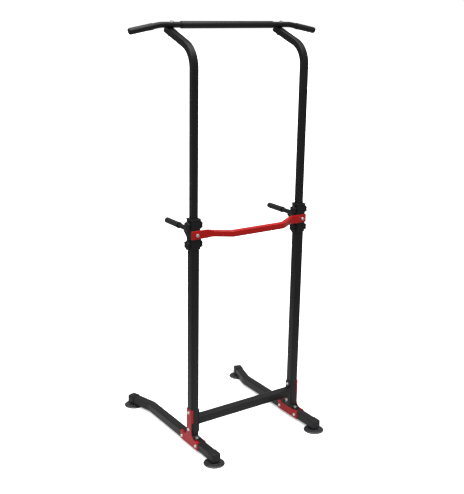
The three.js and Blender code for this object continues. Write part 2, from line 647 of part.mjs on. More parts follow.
// A hole square to the sloping arm, through the bar's seat.
function barBoltHole(low, high) {
  const hole = rod(BOLT_HOLE, low, high, BOLT_SIDES).translate(0, BAR_SEAT, 0);
  return hole.rotateX(ARM_RISE).translate(0, 0, ARM_CORNER_HEIGHT);
}

// Plastic shoe on the sliding tube's lower end.
function slideBush() {
  const shape = roundedSquare(BIG_BORE - 2 * GAP, 1);
  const low = UPPER_TUBE_BOTTOM - BUSH_FLOOR - GAP;
  const shoe = prism(shape, low, low + BUSH_LENGTH);
  const pocketShape = roundedSquare(SMALL_TUBE + 2 * GAP, 1);
  const pocket = prism(pocketShape, low + BUSH_FLOOR, low + BUSH_LENGTH + 1);
  return build([shoe], [pocket, rod(SMALL_TUBE / 4, low - 1, low + BUSH_FLOOR + 1)]);
}

// Plug for the arm's open end, along +Y with the tube's end at y = 0.
function armPlug() {
  const stemShape = roundedSquare(SMALL_TUBE - 2 * SMALL_WALL - 2 * GAP, 1);
  const stem = prism(stemShape, -PLUG_DEPTH, GAP + 1);
  const head = prism(roundedSquare(SMALL_TUBE, SMALL_CORNER), GAP, GAP + PLUG_HEAD, { bevel: 1.5 });
  return build([alongY(stem), alongY(head)]);
}

function barEnd(side) {
  const length = (BAR_HALF_LENGTH - BAR_HALF_STRAIGHT) / cos(BAR_DROOP);
  return new THREE.Vector3(side * BAR_HALF_LENGTH, 0, -length * sin(BAR_DROOP));
}

function pullUpBar() {
  const corners = [
    barEnd(-1),
    new THREE.Vector3(-BAR_HALF_STRAIGHT, 0, 0),
    new THREE.Vector3(BAR_HALF_STRAIGHT, 0, 0),
    barEnd(1),
  ];
  const path = bentPath(corners, BAR_BEND_RADIUS, DROOP_STEPS);
  const bar = sweep(roundTube(BAR_RADIUS, BAR_WALL), path, ROUND / 2);
  bar.translate(0, BAR_CENTRE_Y, BAR_CENTRE_Z);
  const holes = [-1, 1].map((side) =>
    barBoltHole(0, 2 * BAR_OFFSET + BAR_RADIUS).translate((side * UPRIGHT_SPACING) / 2, 0, 0),
  );
  return build([bar], holes);
}

// Open sleeve of rubber over the bar's middle, with softened edges.
function centreGrip() {
  const bore = BAR_RADIUS + GAP;
  const outer = BAR_RADIUS + CENTRE_GRIP_RUBBER;
  const end = CENTRE_GRIP_HALF;
  const edge = 1.5;
  const profile = [
    [bore, -end], [outer - edge, -end], [outer, -end + edge], [outer, end - edge],
    [outer - edge, end], [bore, end], [bore, -end],
  ];
  return build([alongX(revolve(profile)).translate(0, BAR_CENTRE_Y, BAR_CENTRE_Z)]);
}

// Closed grip on a drooping end, pointing +X with its mouth at x = 0.
function endGrip() {
  return build([alongX(revolve(gripProfile(BAR_RADIUS, END_GRIP_RUBBER, END_GRIP_LENGTH, 0)))]);
}

// ---------------------------------------------------------------- bolts
// Hexagon bolt and nut along Z: the head's seat at z = 0, the nut's seat at -grip.
function boltAndNut(grip) {
  const head = rod(HEAD_RADIUS, 0, HEAD_THICK, BOLT_SIDES);
  const shank = rod(BOLT_RADIUS, -grip - NUT_THICK - THREAD_PAST_NUT, 1, BOLT_SIDES);
  const nut = rod(HEAD_RADIUS, -grip - NUT_THICK, -grip, BOLT_SIDES);
  return build([head, shank, nut]);
}

function braceBolt(length) {
  return build([rod(HEAD_RADIUS, 0, HEAD_THICK, BOLT_SIDES), rod(BOLT_RADIUS, -length, 1, BOLT_SIDES)]);
}

// ---------------------------------------------------------------- assembly
function mesh(name, geometry, material, x = 0, y = 0, z = 0) {
  const made = new THREE.Mesh(geometry, material);
  made.name = name;
  made.position.set(x, y, z);
  return made;
}

// Foot, lower upright, plates and bolts of one side, round its upright axis.
function lowerSide(side, word) {
  const group = new THREE.Group();
  group.add(mesh(`foot_tube_${word}`, footTube(side), blackSteel));
  group.add(mesh(`lower_upright_${word}`, lowerUpright(), blackSteel));
  group.add(mesh(`guide_liner_${word}`, guideLiner(), blackPlastic));
  cupPlaces(side).forEach(([x, y], i) => {
    const end = ["front", "rear"][i];
    group.add(mesh(`suction_cup_${end}_${word}`, suctionCup(), greyRubber, x, y));
    const cap = mesh(`foot_cap_${end}_${word}`, footCap(), blackPlastic);
    const turn = i === 0 ? PI : -side * FOOT_SPLAY;
    cap.rotation.z = turn;
    cap.position.set(x - CUP_SETBACK * sin(turn), y + CUP_SETBACK * cos(turn), FOOT_CENTRE);
    group.add(cap);
  });
  group.add(sidePlates(side, word));
  const flangeGrip = BIG_TUBE + FLANGE_THICK + 3 * GAP;
  const flangeHead = FOOT_TOP + FLANGE_THICK + 2 * GAP;
  FLANGE_BOLTS.forEach((y, i) => {
    const end = ["front", "rear"][i];
    group.add(mesh(`flange_bolt_${end}_${word}`, boltAndNut(flangeGrip), zinc, 0, y, flangeHead));
  });
  return group;
}

// Gusset, inner plate and the bolts across them; the right side's set turned half round for the left.
function sidePlates(side, word) {
  const group = new THREE.Group();
  group.rotation.z = side < 0 ? PI : 0;
  group.add(mesh(`outer_gusset_${word}`, outerGusset(), redSteel));
  group.add(mesh(`inner_plate_${word}`, innerPlate(), redSteel));
  const seat = UPRIGHT_SIDE + PLATE_THICK + 2 * GAP;
  const upperGrip = seat + UPRIGHT_SIDE + END_PLATE_THICK + 2 * GAP;
  FOOT_BOLTS.forEach((y) => {
    const bolt = mesh(`foot_bolt_${y * side < 0 ? "front" : "rear"}_${word}`, boltAndNut(2 * seat), zinc);
    bolt.rotation.y = PI / 2;
    bolt.position.set(seat, y, FOOT_CENTRE);
    group.add(bolt);
  });
  UPRIGHT_BOLTS.forEach((z, i) => {
    const bolt = mesh(`upright_bolt_${["lower", "upper"][i]}_${word}`, boltAndNut(upperGrip), zinc);
    bolt.rotation.y = PI / 2;
    bolt.position.set(seat, 0, z);
    group.add(bolt);
  });
  return group;
}

// Sleeve with its handle, grip and four knobs, round the upright axis.
function clampSet(side, word) {
  const group = new THREE.Group();
  group.add(mesh(`sleeve_${word}`, sleeve(), blackSteel));
  group.add(mesh(`dip_handle_${word}`, dipHandle(), blackSteel));
  group.add(mesh(`dip_grip_${word}`, dipGrip(), blackRubber));
  const seat = SLEEVE_SIZE / 2 + KNOB_BOSS_RISE + GAP;
  const rows = [
    ["upper", UPPER_KNOB_HEIGHT, SMALL_TUBE / 2 + GAP],
    ["lower", LOWER_KNOB_HEIGHT, UPRIGHT_SIDE + GAP],
  ];
  rows.forEach(([row, height, tip]) => {
    [-1, 1].forEach((way) => {
      const place = way === side ? "outer" : "inner";
      const knob = mesh(`knob_${row}_${place}_${word}`, starKnob(seat - tip), blackPlastic);
      knob.rotation.y = (way * PI) / 2;
      knob.position.set(way * seat, 0, height);
      group.add(knob);
    });
  });
  const braceFront = BRACE_END_DEPTH + BRACE_END_THICK / 2 + GAP;
  const bolt = mesh(`brace_bolt_${word}`, braceBolt(braceFront - BIG_BORE / 2 - GAP), zinc);
  bolt.rotation.x = PI / 2;
  bolt.position.set(0, -braceFront, BRACE_HEIGHT);
  group.add(bolt);
  return group;
}

// Sliding tube with its shoe, plug and bar bolt, round the upright axis.
function upperSide(word) {
  const group = new THREE.Group();
  group.add(mesh(`upper_upright_${word}`, upperUpright(), blackSteel));
  group.add(mesh(`slide_bush_${word}`, slideBush(), blackPlastic));
  const arm = new THREE.Group();
  arm.position.z = ARM_CORNER_HEIGHT;
  arm.rotation.x = ARM_RISE;
  arm.add(mesh(`arm_plug_${word}`, armPlug(), blackPlastic, 0, ARM_LENGTH, 0));
  const seat = BAR_OFFSET + BAR_RADIUS + GAP;
  const grip = seat + SMALL_TUBE / 2 + GAP;
  arm.add(mesh(`bar_bolt_${word}`, boltAndNut(grip), zinc, 0, BAR_SEAT, seat));
  group.add(arm);
  return group;
}

const tower = new THREE.Group();
tower.position.y = -(FRONT_EDGE + REAR_EDGE) / 2; // the origin lies under the middle of the footprint
tower.add(mesh("cross_beam", crossBeam(), blackSteel));
tower.add(mesh("brace_bar", braceBar(), redSteel));
tower.add(mesh("pullup_bar", pullUpBar(), blackSteel));
tower.add(mesh("centre_grip", centreGrip(), blackRubber));
[[-1, "left"], [1, "right"]].forEach(([side, word]) => {
  [lowerSide(side, word), clampSet(side, word), upperSide(word)].forEach((group) => {
    group.position.x = (side * UPRIGHT_SPACING) / 2;
    tower.add(group);
  });
  const grip = mesh(`end_grip_${word}`, endGrip(), blackRubber);
  const end = barEnd(side);
  const outwards = new THREE.Vector3(side * cos(BAR_DROOP), 0, -sin(BAR_DROOP));
  const mouth = end.addScaledVector(outwards, GAP + GRIP_END - END_GRIP_LENGTH);
  grip.position.set(mouth.x, BAR_CENTRE_Y, BAR_CENTRE_Z + mouth.z);
  grip.rotation.y = side > 0 ? BAR_DROOP : PI - BAR_DROOP;
  tower.add(grip);
});

const model = new THREE.Group();
model.add(tower);
export default model;
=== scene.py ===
# %% [markdown]
# # A power tower, piece by piece
# This gym machine is a frame of powder-coated steel tube: two long feet on rubber cups, two lower
# uprights joined by a cross beam, a telescoping upper frame in them, a clamp sleeve on each upright
# that carries a dip handle and four star knobs, a red brace bar between the sleeves and a pull-up bar
# on top.
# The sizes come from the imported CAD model, which is loaded as a fixed frame. Each visible piece is
# then made again with its folds, welds, rounded edges and finish, in the place that the CAD gives it.

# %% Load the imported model
from math import cos, pi, radians, sin, tan

import bmesh
import bpy
from mathutils import Matrix, Vector


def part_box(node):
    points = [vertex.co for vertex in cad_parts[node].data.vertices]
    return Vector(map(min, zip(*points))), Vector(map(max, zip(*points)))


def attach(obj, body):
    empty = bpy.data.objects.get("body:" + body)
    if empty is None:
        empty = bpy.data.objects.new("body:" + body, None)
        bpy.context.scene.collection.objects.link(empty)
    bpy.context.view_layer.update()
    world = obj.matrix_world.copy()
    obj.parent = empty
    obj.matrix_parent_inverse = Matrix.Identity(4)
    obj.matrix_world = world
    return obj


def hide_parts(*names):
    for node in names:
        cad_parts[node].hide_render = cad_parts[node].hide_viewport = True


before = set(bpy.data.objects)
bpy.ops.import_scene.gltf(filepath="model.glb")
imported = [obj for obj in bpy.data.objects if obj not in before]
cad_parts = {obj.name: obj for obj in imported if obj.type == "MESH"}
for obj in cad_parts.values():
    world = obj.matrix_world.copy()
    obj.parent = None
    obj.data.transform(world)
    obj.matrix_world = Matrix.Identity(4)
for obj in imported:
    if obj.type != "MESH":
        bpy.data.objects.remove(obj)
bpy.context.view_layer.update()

# %% [markdown]
# ## Camera
# The camera stands a little higher than the top of the machine and looks down on it through a fairly
# long lens, so that the uprights stay nearly parallel. It is built from three plain turns: round the
# vertical, down towards the feet, and a slight roll, in the order in which a tripod head makes them.

# %% Camera
SENSOR = 36.0  # mm, along the picture's long side
LENS = 61.15919  # mm
CAMERA_AT = (-2.6903, -3.9928, 2.5289)
HEADING = radians(-34.34)
LOOK_DOWN = radians(16.34)
ROLL = radians(0.94)

camera = bpy.data.objects.new("camera", bpy.data.cameras.new("camera"))
bpy.context.scene.collection.objects.link(camera)
camera.data.sensor_width = SENSOR
camera.data.lens = LENS
heading = Matrix.Rotation(HEADING, 4, "Z")
tilt = Matrix.Rotation(pi / 2 - LOOK_DOWN, 4, "X")
roll = Matrix.Rotation(ROLL, 4, "Z")
camera.matrix_world = Matrix.Translation(CAMERA_AT) @ heading @ tilt @ roll
bpy.context.scene.camera = camera
print("lens", round(camera.data.lens, 1), "mm")

# %% [markdown]
# ## Nodes and colours
# A Blender material is a tree of nodes. One helper adds a node with its settings and plugs in its
# links, so that each finish below reads as a short list. Colours are written as sRGB hex values, the
# way a paint card gives them, and one function turns them into the linear values that Blender mixes.

# %% Node and colour helpers
MM = 0.001


def srgb(code):
    """A hex colour as linear red, green, blue and alpha."""
    channels = [int(code[i : i + 2], 16) / 255 for i in (1, 3, 5)]
    linear = [c / 12.92 if c <= 0.04045 else ((c + 0.055) / 1.055) ** 2.4 for c in channels]
    return (*linear, 1.0)


def add_node(tree, kind, settings=(), links=()):
    """Adds a node, sets its attributes or input values by name, and links outputs into its inputs."""
    node = tree.nodes.new(kind)
    for name, value in dict(settings).items():
        if isinstance(name, str) and hasattr(node, name):
            setattr(node, name, value)
        else:
            node.inputs[name].default_value = value
    for name, output in dict(links).items():
        tree.links.new(output, node.inputs[name])
    return node


def empty_tree(owner):
    """The cleared node tree of a material or world."""
    owner.use_nodes = True
    owner.node_tree.nodes.clear()
    return owner.node_tree


print("mid grey is", round(srgb("#808080")[0], 3), "in linear light")

# %% [markdown]
# ## Light and floor
# The machine stands in a white studio under a large softbox that hangs a little to its front and left.
# The softbox is a sun with a wide angle, because a sun lights a floor evenly however far it runs, which
# an area lamp doesn't. It makes the tops of the tubes brighter than their sides and draws one soft
# highlight along each rounded edge. Backdrop and floor have to look white while they throw little
# light back on the coat, so each is bright where it is looked at and dim where it lights something else.

# %% World and sun
WHITE = srgb("#ffffff")
FILL = 0.25  # what the backdrop gives to the pieces
BACKDROP = 1.05  # what the camera sees of it
SOFTBOX_POWER = 5.2  # W/m2
SOFTBOX_SPREAD = radians(85)
SOFTBOX_TILT = (radians(10), radians(-8), 0)

world = bpy.data.worlds.new("white_studio")
bpy.context.scene.world = world
tree = empty_tree(world)
fill = add_node(tree, "ShaderNodeBackground", {"Color": WHITE, "Strength": FILL})
backdrop = add_node(tree, "ShaderNodeBackground", {"Color": WHITE, "Strength": BACKDROP})
seen = add_node(tree, "ShaderNodeLightPath")
sky = add_node(
    tree,
    "ShaderNodeMixShader",
    links={0: seen.outputs["Is Camera Ray"], 1: fill.outputs[0], 2: backdrop.outputs[0]},
)
add_node(tree, "ShaderNodeOutputWorld", links={"Surface": sky.outputs[0]})

sun = bpy.data.objects.new("overhead_softbox", bpy.data.lights.new("overhead_softbox", "SUN"))
bpy.context.scene.collection.objects.link(sun)
sun.data.energy = SOFTBOX_POWER
sun.data.angle = SOFTBOX_SPREAD
sun.rotation_euler = SOFTBOX_TILT
bpy.context.scene.view_settings.view_transform = "Standard"
print("sun", sun.data.energy, "W/m2")

# %% Floor
FLOOR_HALF = 60.0
POOL_RADIUS = 2.4  # the floor throws back more light near the machine than farther out
FLOOR_GLOW = 0.4  # lifts the floor to white where the softbox is partly hidden
bm = bmesh.new()
bmesh.ops.create_grid(bm, x_segments=1, y_segments=1, size=FLOOR_HALF)
floor_mesh = bpy.data.meshes.new("floor")
bm.to_mesh(floor_mesh)
bm.free()
floor = bpy.data.objects.new("floor", floor_mesh)
bpy.context.scene.collection.objects.link(floor)

floor_paint = bpy.data.materials.new("white_studio_floor")
tree = empty_tree(floor_paint)
# A painted pool of light: the colour that the floor throws back on the machine is lighter near it than
# farther out, so the feet get more bounce light than the arms.
place = add_node(tree, "ShaderNodeTexCoord").outputs["Object"]
scaled = add_node(tree, "ShaderNodeMapping", {"Scale": [1 / POOL_RADIUS] * 3}, {"Vector": place})
painted_light_pool = add_node(tree, "ShaderNodeTexGradient", {"gradient_type": "SPHERICAL"}, {"Vector": scaled.outputs[0]})
painted_bounce_tone = add_node(
    tree,
    "ShaderNodeMix",
    {"data_type": "RGBA", "A": srgb("#6a6a6a"), "B": srgb("#c8c8c8")},
    {"Factor": painted_light_pool.outputs["Fac"]},
)
bounce = add_node(tree, "ShaderNodeBsdfDiffuse", links={"Color": painted_bounce_tone.outputs["Result"]})
matt = add_node(tree, "ShaderNodeBsdfDiffuse", {"Color": WHITE})
glow = add_node(tree, "ShaderNodeEmission", {"Color": WHITE, "Strength": FLOOR_GLOW})
white = add_node(tree, "ShaderNodeAddShader", links={0: matt.outputs[0], 1: glow.outputs[0]})
seen = add_node(tree, "ShaderNodeLightPath")
paint = add_node(
    tree,
    "ShaderNodeMixShader",
    links={0: seen.outputs["Is Camera Ray"], 1: bounce.outputs[0], 2: white.outputs[0]},
)
add_node(tree, "ShaderNodeOutputMaterial", links={"Surface": paint.outputs[0]})
floor_mesh.materials.append(floor_paint)
print("floor", 2 * FLOOR_HALF, "m square")

# %% [markdown]
# ## Satin black powder coat
# Powder coat is dry polyester dust that is baked on steel. It flows into a skin with a faint
# orange-peel ripple a few millimetres across, under a much finer grain, so its gloss looks soft and
# slightly broken up. The ripple is a noise on Object coordinates, which stay with the piece when it
# moves, and the grain is drawn a little coarser than the real one so that it shows at all.

# %% Satin black powder coat
PEEL = 3.5 * MM
GRAIN = 0.9 * MM
HANDLED = 7.0  # patches to the metre, where hands and cloths have dulled the coat


def coat(name, colour, worn, roughness, specular, depth):
    """Powder coat of one colour; worn is the tone that handling leaves in soft patches."""
    material = bpy.data.materials.new(name)
    tree = empty_tree(material)
    place = add_node(tree, "ShaderNodeTexCoord").outputs["Object"]
    peel = add_node(tree, "ShaderNodeTexNoise", {"Scale": 1 / PEEL, "Detail": 2.0}, {"Vector": place})
    grain = add_node(tree, "ShaderNodeTexNoise", {"Scale": 1 / GRAIN, "Detail": 1.0}, {"Vector": place})
    patches = add_node(tree, "ShaderNodeTexNoise", {"Scale": HANDLED, "Detail": 3.0}, {"Vector": place})
    tone = add_node(
        tree,
        "ShaderNodeMix",
        {"data_type": "RGBA", "A": srgb(colour), "B": srgb(worn)},
        {"Factor": patches.outputs["Fac"]},
    )
    gloss = add_node(
        tree,
        "ShaderNodeMapRange",
        {"To Min": roughness - 0.06, "To Max": roughness + 0.08},
        {"Value": patches.outputs["Fac"]},
    )
    ripple = add_node(
        tree, "ShaderNodeBump", {"Strength": 0.2, "Distance": depth}, {"Height": peel.outputs["Fac"]}
    )
    skin = add_node(
        tree,
        "ShaderNodeBump",
        {"Strength": 0.15, "Distance": depth / 4},
        {"Height": grain.outputs["Fac"], "Normal": ripple.outputs["Normal"]},
    )
    paint = add_node(
        tree,
        "ShaderNodeBsdfPrincipled",
        {"IOR": 1.5, "Specular IOR Level": specular, "Metallic": 0.0},
        {
            "Base Color": tone.outputs["Result"],
            "Roughness": gloss.outputs["Result"],
            "Normal": skin.outputs["Normal"],
        },
    )
    add_node(tree, "ShaderNodeOutputMaterial", links={"Surface": paint.outputs[0]})
    return material


black_coat = coat("satin_black_powder_coat", "#1a1a1b", "#1e1e1f", 0.3, 0.22, 0.15 * MM)
print(black_coat.name)

# %% [markdown]
# ## Red powder coat
# The brace bar has the same kind of coat in signal red. It is a little glossier, and its white
# highlights over the red read as pink along the edges. The stamped foot plates come from another
# batch, which is cooler and deeper in tone, so they get a coat of their own.

# %% Red powder coat
red_coat = coat("signal_red_powder_coat", "#b00b06", "#a60906", 0.24, 0.42, 0.12 * MM)
plate_coat = coat("crimson_powder_coat", "#a60e18", "#9b0b14", 0.3, 0.27, 0.12 * MM)
print(red_coat.name, plate_coat.name)

# %% [markdown]
# ## Moulded black plastic
# Knobs, foot caps and tube plugs are injection-moulded nylon or polypropylene. The tool is spark
# eroded, which leaves an even fine pebble on the surface and a soft sheen on edges and lobes.

# %% Moulded black plastic
SPARK_GRAIN = 0.7 * MM
FLOW_MARKS = 22.0  # to the metre, where the melt has run through the mould

black_plastic = bpy.data.materials.new("moulded_black_nylon")
tree = empty_tree(black_plastic)
place = add_node(tree, "ShaderNodeTexCoord").outputs["Object"]
pebble = add_node(tree, "ShaderNodeTexVoronoi", {"Scale": 1 / SPARK_GRAIN}, {"Vector": place})
flow = add_node(tree, "ShaderNodeTexNoise", {"Scale": FLOW_MARKS, "Detail": 2.0}, {"Vector": place})
tone = add_node(
    tree,
    "ShaderNodeMix",
    {"data_type": "RGBA", "A": srgb("#19191a"), "B": srgb("#1e1e1f")},
    {"Factor": flow.outputs["Fac"]},
)
gloss = add_node(
    tree, "ShaderNodeMapRange", {"To Min": 0.28, "To Max": 0.42}, {"Value": flow.outputs["Fac"]}
)
skin = add_node(
    tree, "ShaderNodeBump", {"Strength": 0.3, "Distance": 0.08 * MM}, {"Height": pebble.outputs["Distance"]}
)
nylon = add_node(
    tree,
    "ShaderNodeBsdfPrincipled",
    {"IOR": 1.53, "Specular IOR Level": 0.2},
    {
        "Base Color": tone.outputs["Result"],
        "Roughness": gloss.outputs["Result"],
        "Normal": skin.outputs["Normal"],
    },
)
add_node(tree, "ShaderNodeOutputMaterial", links={"Surface": nylon.outputs[0]})
print(black_plastic.name)

# %% [markdown]
# ## Grip rubber and cup rubber
# The grips are dipped or extruded nitrile sleeves with a satin, slightly dusty skin, and the cups under
# the feet are compression-moulded rubber that is greyer and a little smoother. Both have a broad, soft
# highlight, a coarse skin that breaks it up and a touch of sheen, where dust sits on them.

# %% Rubber
RUBBER_SKIN = 1.1 * MM
DUST = 16.0  # patches to the metre


def rubber(name, colour, dusty, roughness, specular, sheen):
    """Rubber of one colour; dusty is the tone of the soft patches on its skin."""
    material = bpy.data.materials.new(name)
    tree = empty_tree(material)
    place = add_node(tree, "ShaderNodeTexCoord").outputs["Object"]
    cells = add_node(tree, "ShaderNodeTexNoise", {"Scale": 1 / RUBBER_SKIN, "Detail": 3.0}, {"Vector": place})
    dust = add_node(tree, "ShaderNodeTexNoise", {"Scale": DUST, "Detail": 4.0}, {"Vector": place})
    tone = add_node(
        tree,
        "ShaderNodeMix",
        {"data_type": "RGBA", "A": srgb(colour), "B": srgb(dusty)},
        {"Factor": dust.outputs["Fac"]},
    )
    skin = add_node(
        tree, "ShaderNodeBump", {"Strength": 0.5, "Distance": 0.15 * MM}, {"Height": cells.outputs["Fac"]}
    )
    gum = add_node(
        tree,
        "ShaderNodeBsdfPrincipled",
        {"IOR": 1.5, "Roughness": roughness, "Specular IOR Level": specular, "Sheen Weight": sheen},
        {"Base Color": tone.outputs["Result"], "Normal": skin.outputs["Normal"]},
    )
    add_node(tree, "ShaderNodeOutputMaterial", links={"Surface": gum.outputs[0]})
    return material


grip_rubber = rubber("satin_black_nitrile_grip", "#141415", "#1a1a1b", 0.4, 0.35, 0.02)
cup_rubber = rubber("moulded_grey_black_cup_rubber", "#202022", "#28272a", 0.35, 0.5, 0.03)
print(grip_rubber.name, cup_rubber.name)

# %% [markdown]
# ## Bright zinc plate
# Bolts and nuts are steel with a clear-passivated zinc coat: a metal, so its colour is its
# reflection, nearly white, with a fine mottle that the plating bath leaves.

# %% Bright zinc plate
MOTTLE = 1.5 * MM

zinc_plate = bpy.data.materials.new("bright_zinc_plated_steel")
tree = empty_tree(zinc_plate)
place = add_node(tree, "ShaderNodeTexCoord").outputs["Object"]
spangle = add_node(tree, "ShaderNodeTexNoise", {"Scale": 1 / MOTTLE, "Detail": 3.0}, {"Vector": place})
tone = add_node(
    tree,
    "ShaderNodeMix",
    {"data_type": "RGBA", "A": srgb("#dcdddd"), "B": srgb("#f2f2ee")},
    {"Factor": spangle.outputs["Fac"]},
)
gloss = add_node(
    tree, "ShaderNodeMapRange", {"To Min": 0.3, "To Max": 0.48}, {"Value": spangle.outputs["Fac"]}
)
zinc = add_node(
    tree,
    "ShaderNodeBsdfPrincipled",
    {"Metallic": 1.0},
    {"Base Color": tone.outputs["Result"], "Roughness": gloss.outputs["Result"]},
)
add_node(tree, "ShaderNodeOutputMaterial", links={"Surface": zinc.outputs[0]})
print(zinc_plate.name)

# %% [markdown]
# ## From a bmesh to a finished piece
# Every piece is shaped in a bmesh and then handed to one function. That function merges doubles,
# turns the faces outwards, makes the object, and adds the finishing modifiers in the right order:
# Solidify gives sheet and tube their wall, Bevel rounds the hard edges so that they catch light, and
# Weighted Normal keeps flat faces flat beside their round corners. It then hangs the piece on an empty
# for the body that it rides on, gives it its material and hides the CAD nodes that it stands for.

# %% Finish a piece
SOFT_ANGLE = radians(32)


def finish_piece(name, bm, material, body, nodes, wall=0.0, edge=0.0):
    """Makes a bmesh an object; wall is its sheet thickness, edge the width of its rounded edges."""
    bmesh.ops.remove_doubles(bm, verts=bm.verts, dist=0.01 * MM)
    bmesh.ops.recalc_face_normals(bm, faces=bm.faces)
    for face in bm.faces:
        face.smooth = True
    for line in bm.edges:
        line.smooth = line.calc_face_angle(0) < SOFT_ANGLE if line.is_manifold else edge > 0
    mesh = bpy.data.meshes.new(name)
    bm.to_mesh(mesh)
    bm.free()
    mesh.materials.append(material)
    piece = bpy.data.objects.new(name, mesh)
    bpy.context.scene.collection.objects.link(piece)
    if wall:
        sheet = piece.modifiers.new("wall", "SOLIDIFY")
        sheet.thickness = wall
        sheet.offset = -1
        sheet.use_even_offset = True
    if edge:
        rounding = piece.modifiers.new("edges", "BEVEL")
        rounding.width = edge
        rounding.segments = 2
        rounding.limit_method = "ANGLE"
        rounding.angle_limit = SOFT_ANGLE
    if wall or edge:
        flats = piece.modifiers.new("flats", "WEIGHTED_NORMAL")
        flats.keep_sharp = True
    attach(piece, body)
    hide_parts(*nodes)
    print(name, len(mesh.polygons), "faces")


def middle(node):
    """The centre of a CAD node's box."""
    low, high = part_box(node)
    return (low + high) / 2


# %% [markdown]
# ## Rings, pushes and swings
# Rolled square tube is the same rounded square all along, so it is drawn as a ring of edges. Pushing
# the ring gives a straight length and swinging it round a centre gives a bend, as on a tube bender.
# A flat square with its four corners bevelled gives exactly the ring that a rolled tube has.

# %% Ring, push and swing
TO_X = Matrix.Rotation(pi / 2, 4, "Y")
TO_Y = Matrix.Rotation(-pi / 2, 4, "X")
CORNER_STEPS = 5


def square_ring(bm, wide, deep, corner, place=Matrix()):
    """Edges of a rounded rectangle in the XY plane, moved by place."""
    verts = bmesh.ops.create_grid(bm, x_segments=1, y_segments=1, size=0.5)["verts"]
    bmesh.ops.scale(bm, vec=(wide, deep, 1), verts=verts)
    made = bmesh.ops.bevel(
        bm, geom=verts, offset=corner, segments=CORNER_STEPS, profile=0.5, affect="VERTICES", material=-1
    )
    face = made["verts"][0].link_faces[0]
    ring = list(face.edges)
    bmesh.ops.transform(bm, matrix=place, verts=list(face.verts))
    bmesh.ops.delete(bm, geom=[face], context="FACES_ONLY")
    return ring


def ring_verts(ring):
    return list({vert for line in ring for vert in line.verts})


def push(bm, ring, step):
    """Extrudes a ring of edges along a vector and returns the new ring."""
    made = bmesh.ops.extrude_edge_only(bm, edges=ring)["geom"]
    verts = [part for part in made if isinstance(part, bmesh.types.BMVert)]
    bmesh.ops.translate(bm, vec=step, verts=verts)
    return [part for part in made if isinstance(part, bmesh.types.BMEdge) and set(part.verts) <= set(verts)]


def swing(bm, ring, centre, axis, angle, steps):
    """Spins a ring of edges round an axis and returns the last ring."""
    made = bmesh.ops.spin(
        bm, geom=ring + ring_verts(ring), cent=centre, axis=axis, angle=angle, steps=steps,
        use_duplicate=False,
    )
    return [part for part in made["geom_last"] if isinstance(part, bmesh.types.BMEdge)]


bm = bmesh.new()
print("a rounded square has", len(square_ring(bm, 0.05, 0.05, 0.005)), "edges")
bm.free()

# %% [markdown]
# ## Stacks and turned shapes
# Moulded caps, collars and plugs change size along their length. They are stacks: the ring is extruded
# to each station in turn and refitted to that station's width, corner radius and height. A rounded
# rectangle is a core rectangle with its corner radius round it, so a point keeps its place on the core
# and only its distance from the core changes. Cups and grips are round, so half of their outline is
# drawn as a few points, its corners are rounded, and it is spun a full turn.

# %% Stack and lathe
def refit(vert, old, new):
    """Moves a point of one rounded rectangle to its place on another: (width, depth, corner, height)."""
    for axis in (0, 1):
        core = old[axis] / 2 - old[2]
        held = max(-core, min(core, vert.co[axis]))
        beyond = vert.co[axis] - held
        vert.co[axis] = held / core * (new[axis] / 2 - new[2]) + beyond * new[2] / old[2]
    vert.co.z = new[3]


def stack(bm, stations, place=Matrix(), closed=False, caps=(False, False), cuts=0):
    """Lofts rounded rectangles; closed joins the last to the first, caps fill the first and last."""
    ring = square_ring(bm, *stations[0][:3], Matrix.Translation((0, 0, stations[0][3])))
    if cuts:
        bmesh.ops.subdivide_edges(bm, edges=[e for e in ring if e.calc_length() > 5 * MM], cuts=cuts)
        ring = [line for line in bm.edges if line.is_wire]
    rings = [ring]
    for old, new in zip(stations, stations[1:] + (stations[:1] if closed else [])):
        ring = push(bm, ring, (0, 0, 0))
        for vert in ring_verts(ring):
            refit(vert, old, new)
        rings.append(ring)
    for ring, wanted in zip((rings[0], rings[-1]), caps):
        if wanted:
            bmesh.ops.contextual_create(bm, geom=ring)
    verts = list({vert for ring in rings for vert in ring_verts(ring)})
    bmesh.ops.transform(bm, matrix=place, verts=verts)
    return rings


def lathe(bm, outline, place=Matrix(), rounding=(), steps=48, arc=5):
    """Spins an outline of (radius, height) points; rounding maps a point's index to its radius.

    steps is the number of sides and arc the number of segments in a rounded corner.
    """
    verts = [bm.verts.new((radius, 0, height)) for radius, height in outline]
    for pair in zip(verts, verts[1:]):
        bm.edges.new(pair)
    known = set(bm.verts) - set(verts)
    for index, radius in dict(rounding).items():
        bmesh.ops.bevel(
            bm, geom=[verts[index]], offset=radius, segments=arc, profile=0.5, affect="VERTICES", material=-1
        )
    half = [vert for vert in bm.verts if vert not in known]
    lines = list({line for vert in half for line in vert.link_edges})
    bmesh.ops.spin(
        bm, geom=half + lines, cent=(0, 0, 0), axis=(0, 0, 1), angle=2 * pi, steps=steps,
        use_merge=True, use_duplicate=False,
    )
    turned = [vert for vert in bm.verts if vert not in known]
    bmesh.ops.remove_doubles(bm, verts=turned, dist=0.01 * MM)
    turned = [vert for vert in bm.verts if vert not in known]
    bmesh.ops.transform(bm, matrix=place, verts=turned)
    return turned


bm = bmesh.new()
print("a test disc has", len(lathe(bm, [(0, 0), (0.01, 0), (0.01, 0.002), (0, 0.002)])), "points")
bm.free()

# %% [markdown]
# ## Places
# The two sides of the tower are alike, so a side is +1 for the right and -1 for the left. Places are
# read from the CAD boxes; only the sizes that a box doesn't show, such as walls and bend radii, are
# written down.

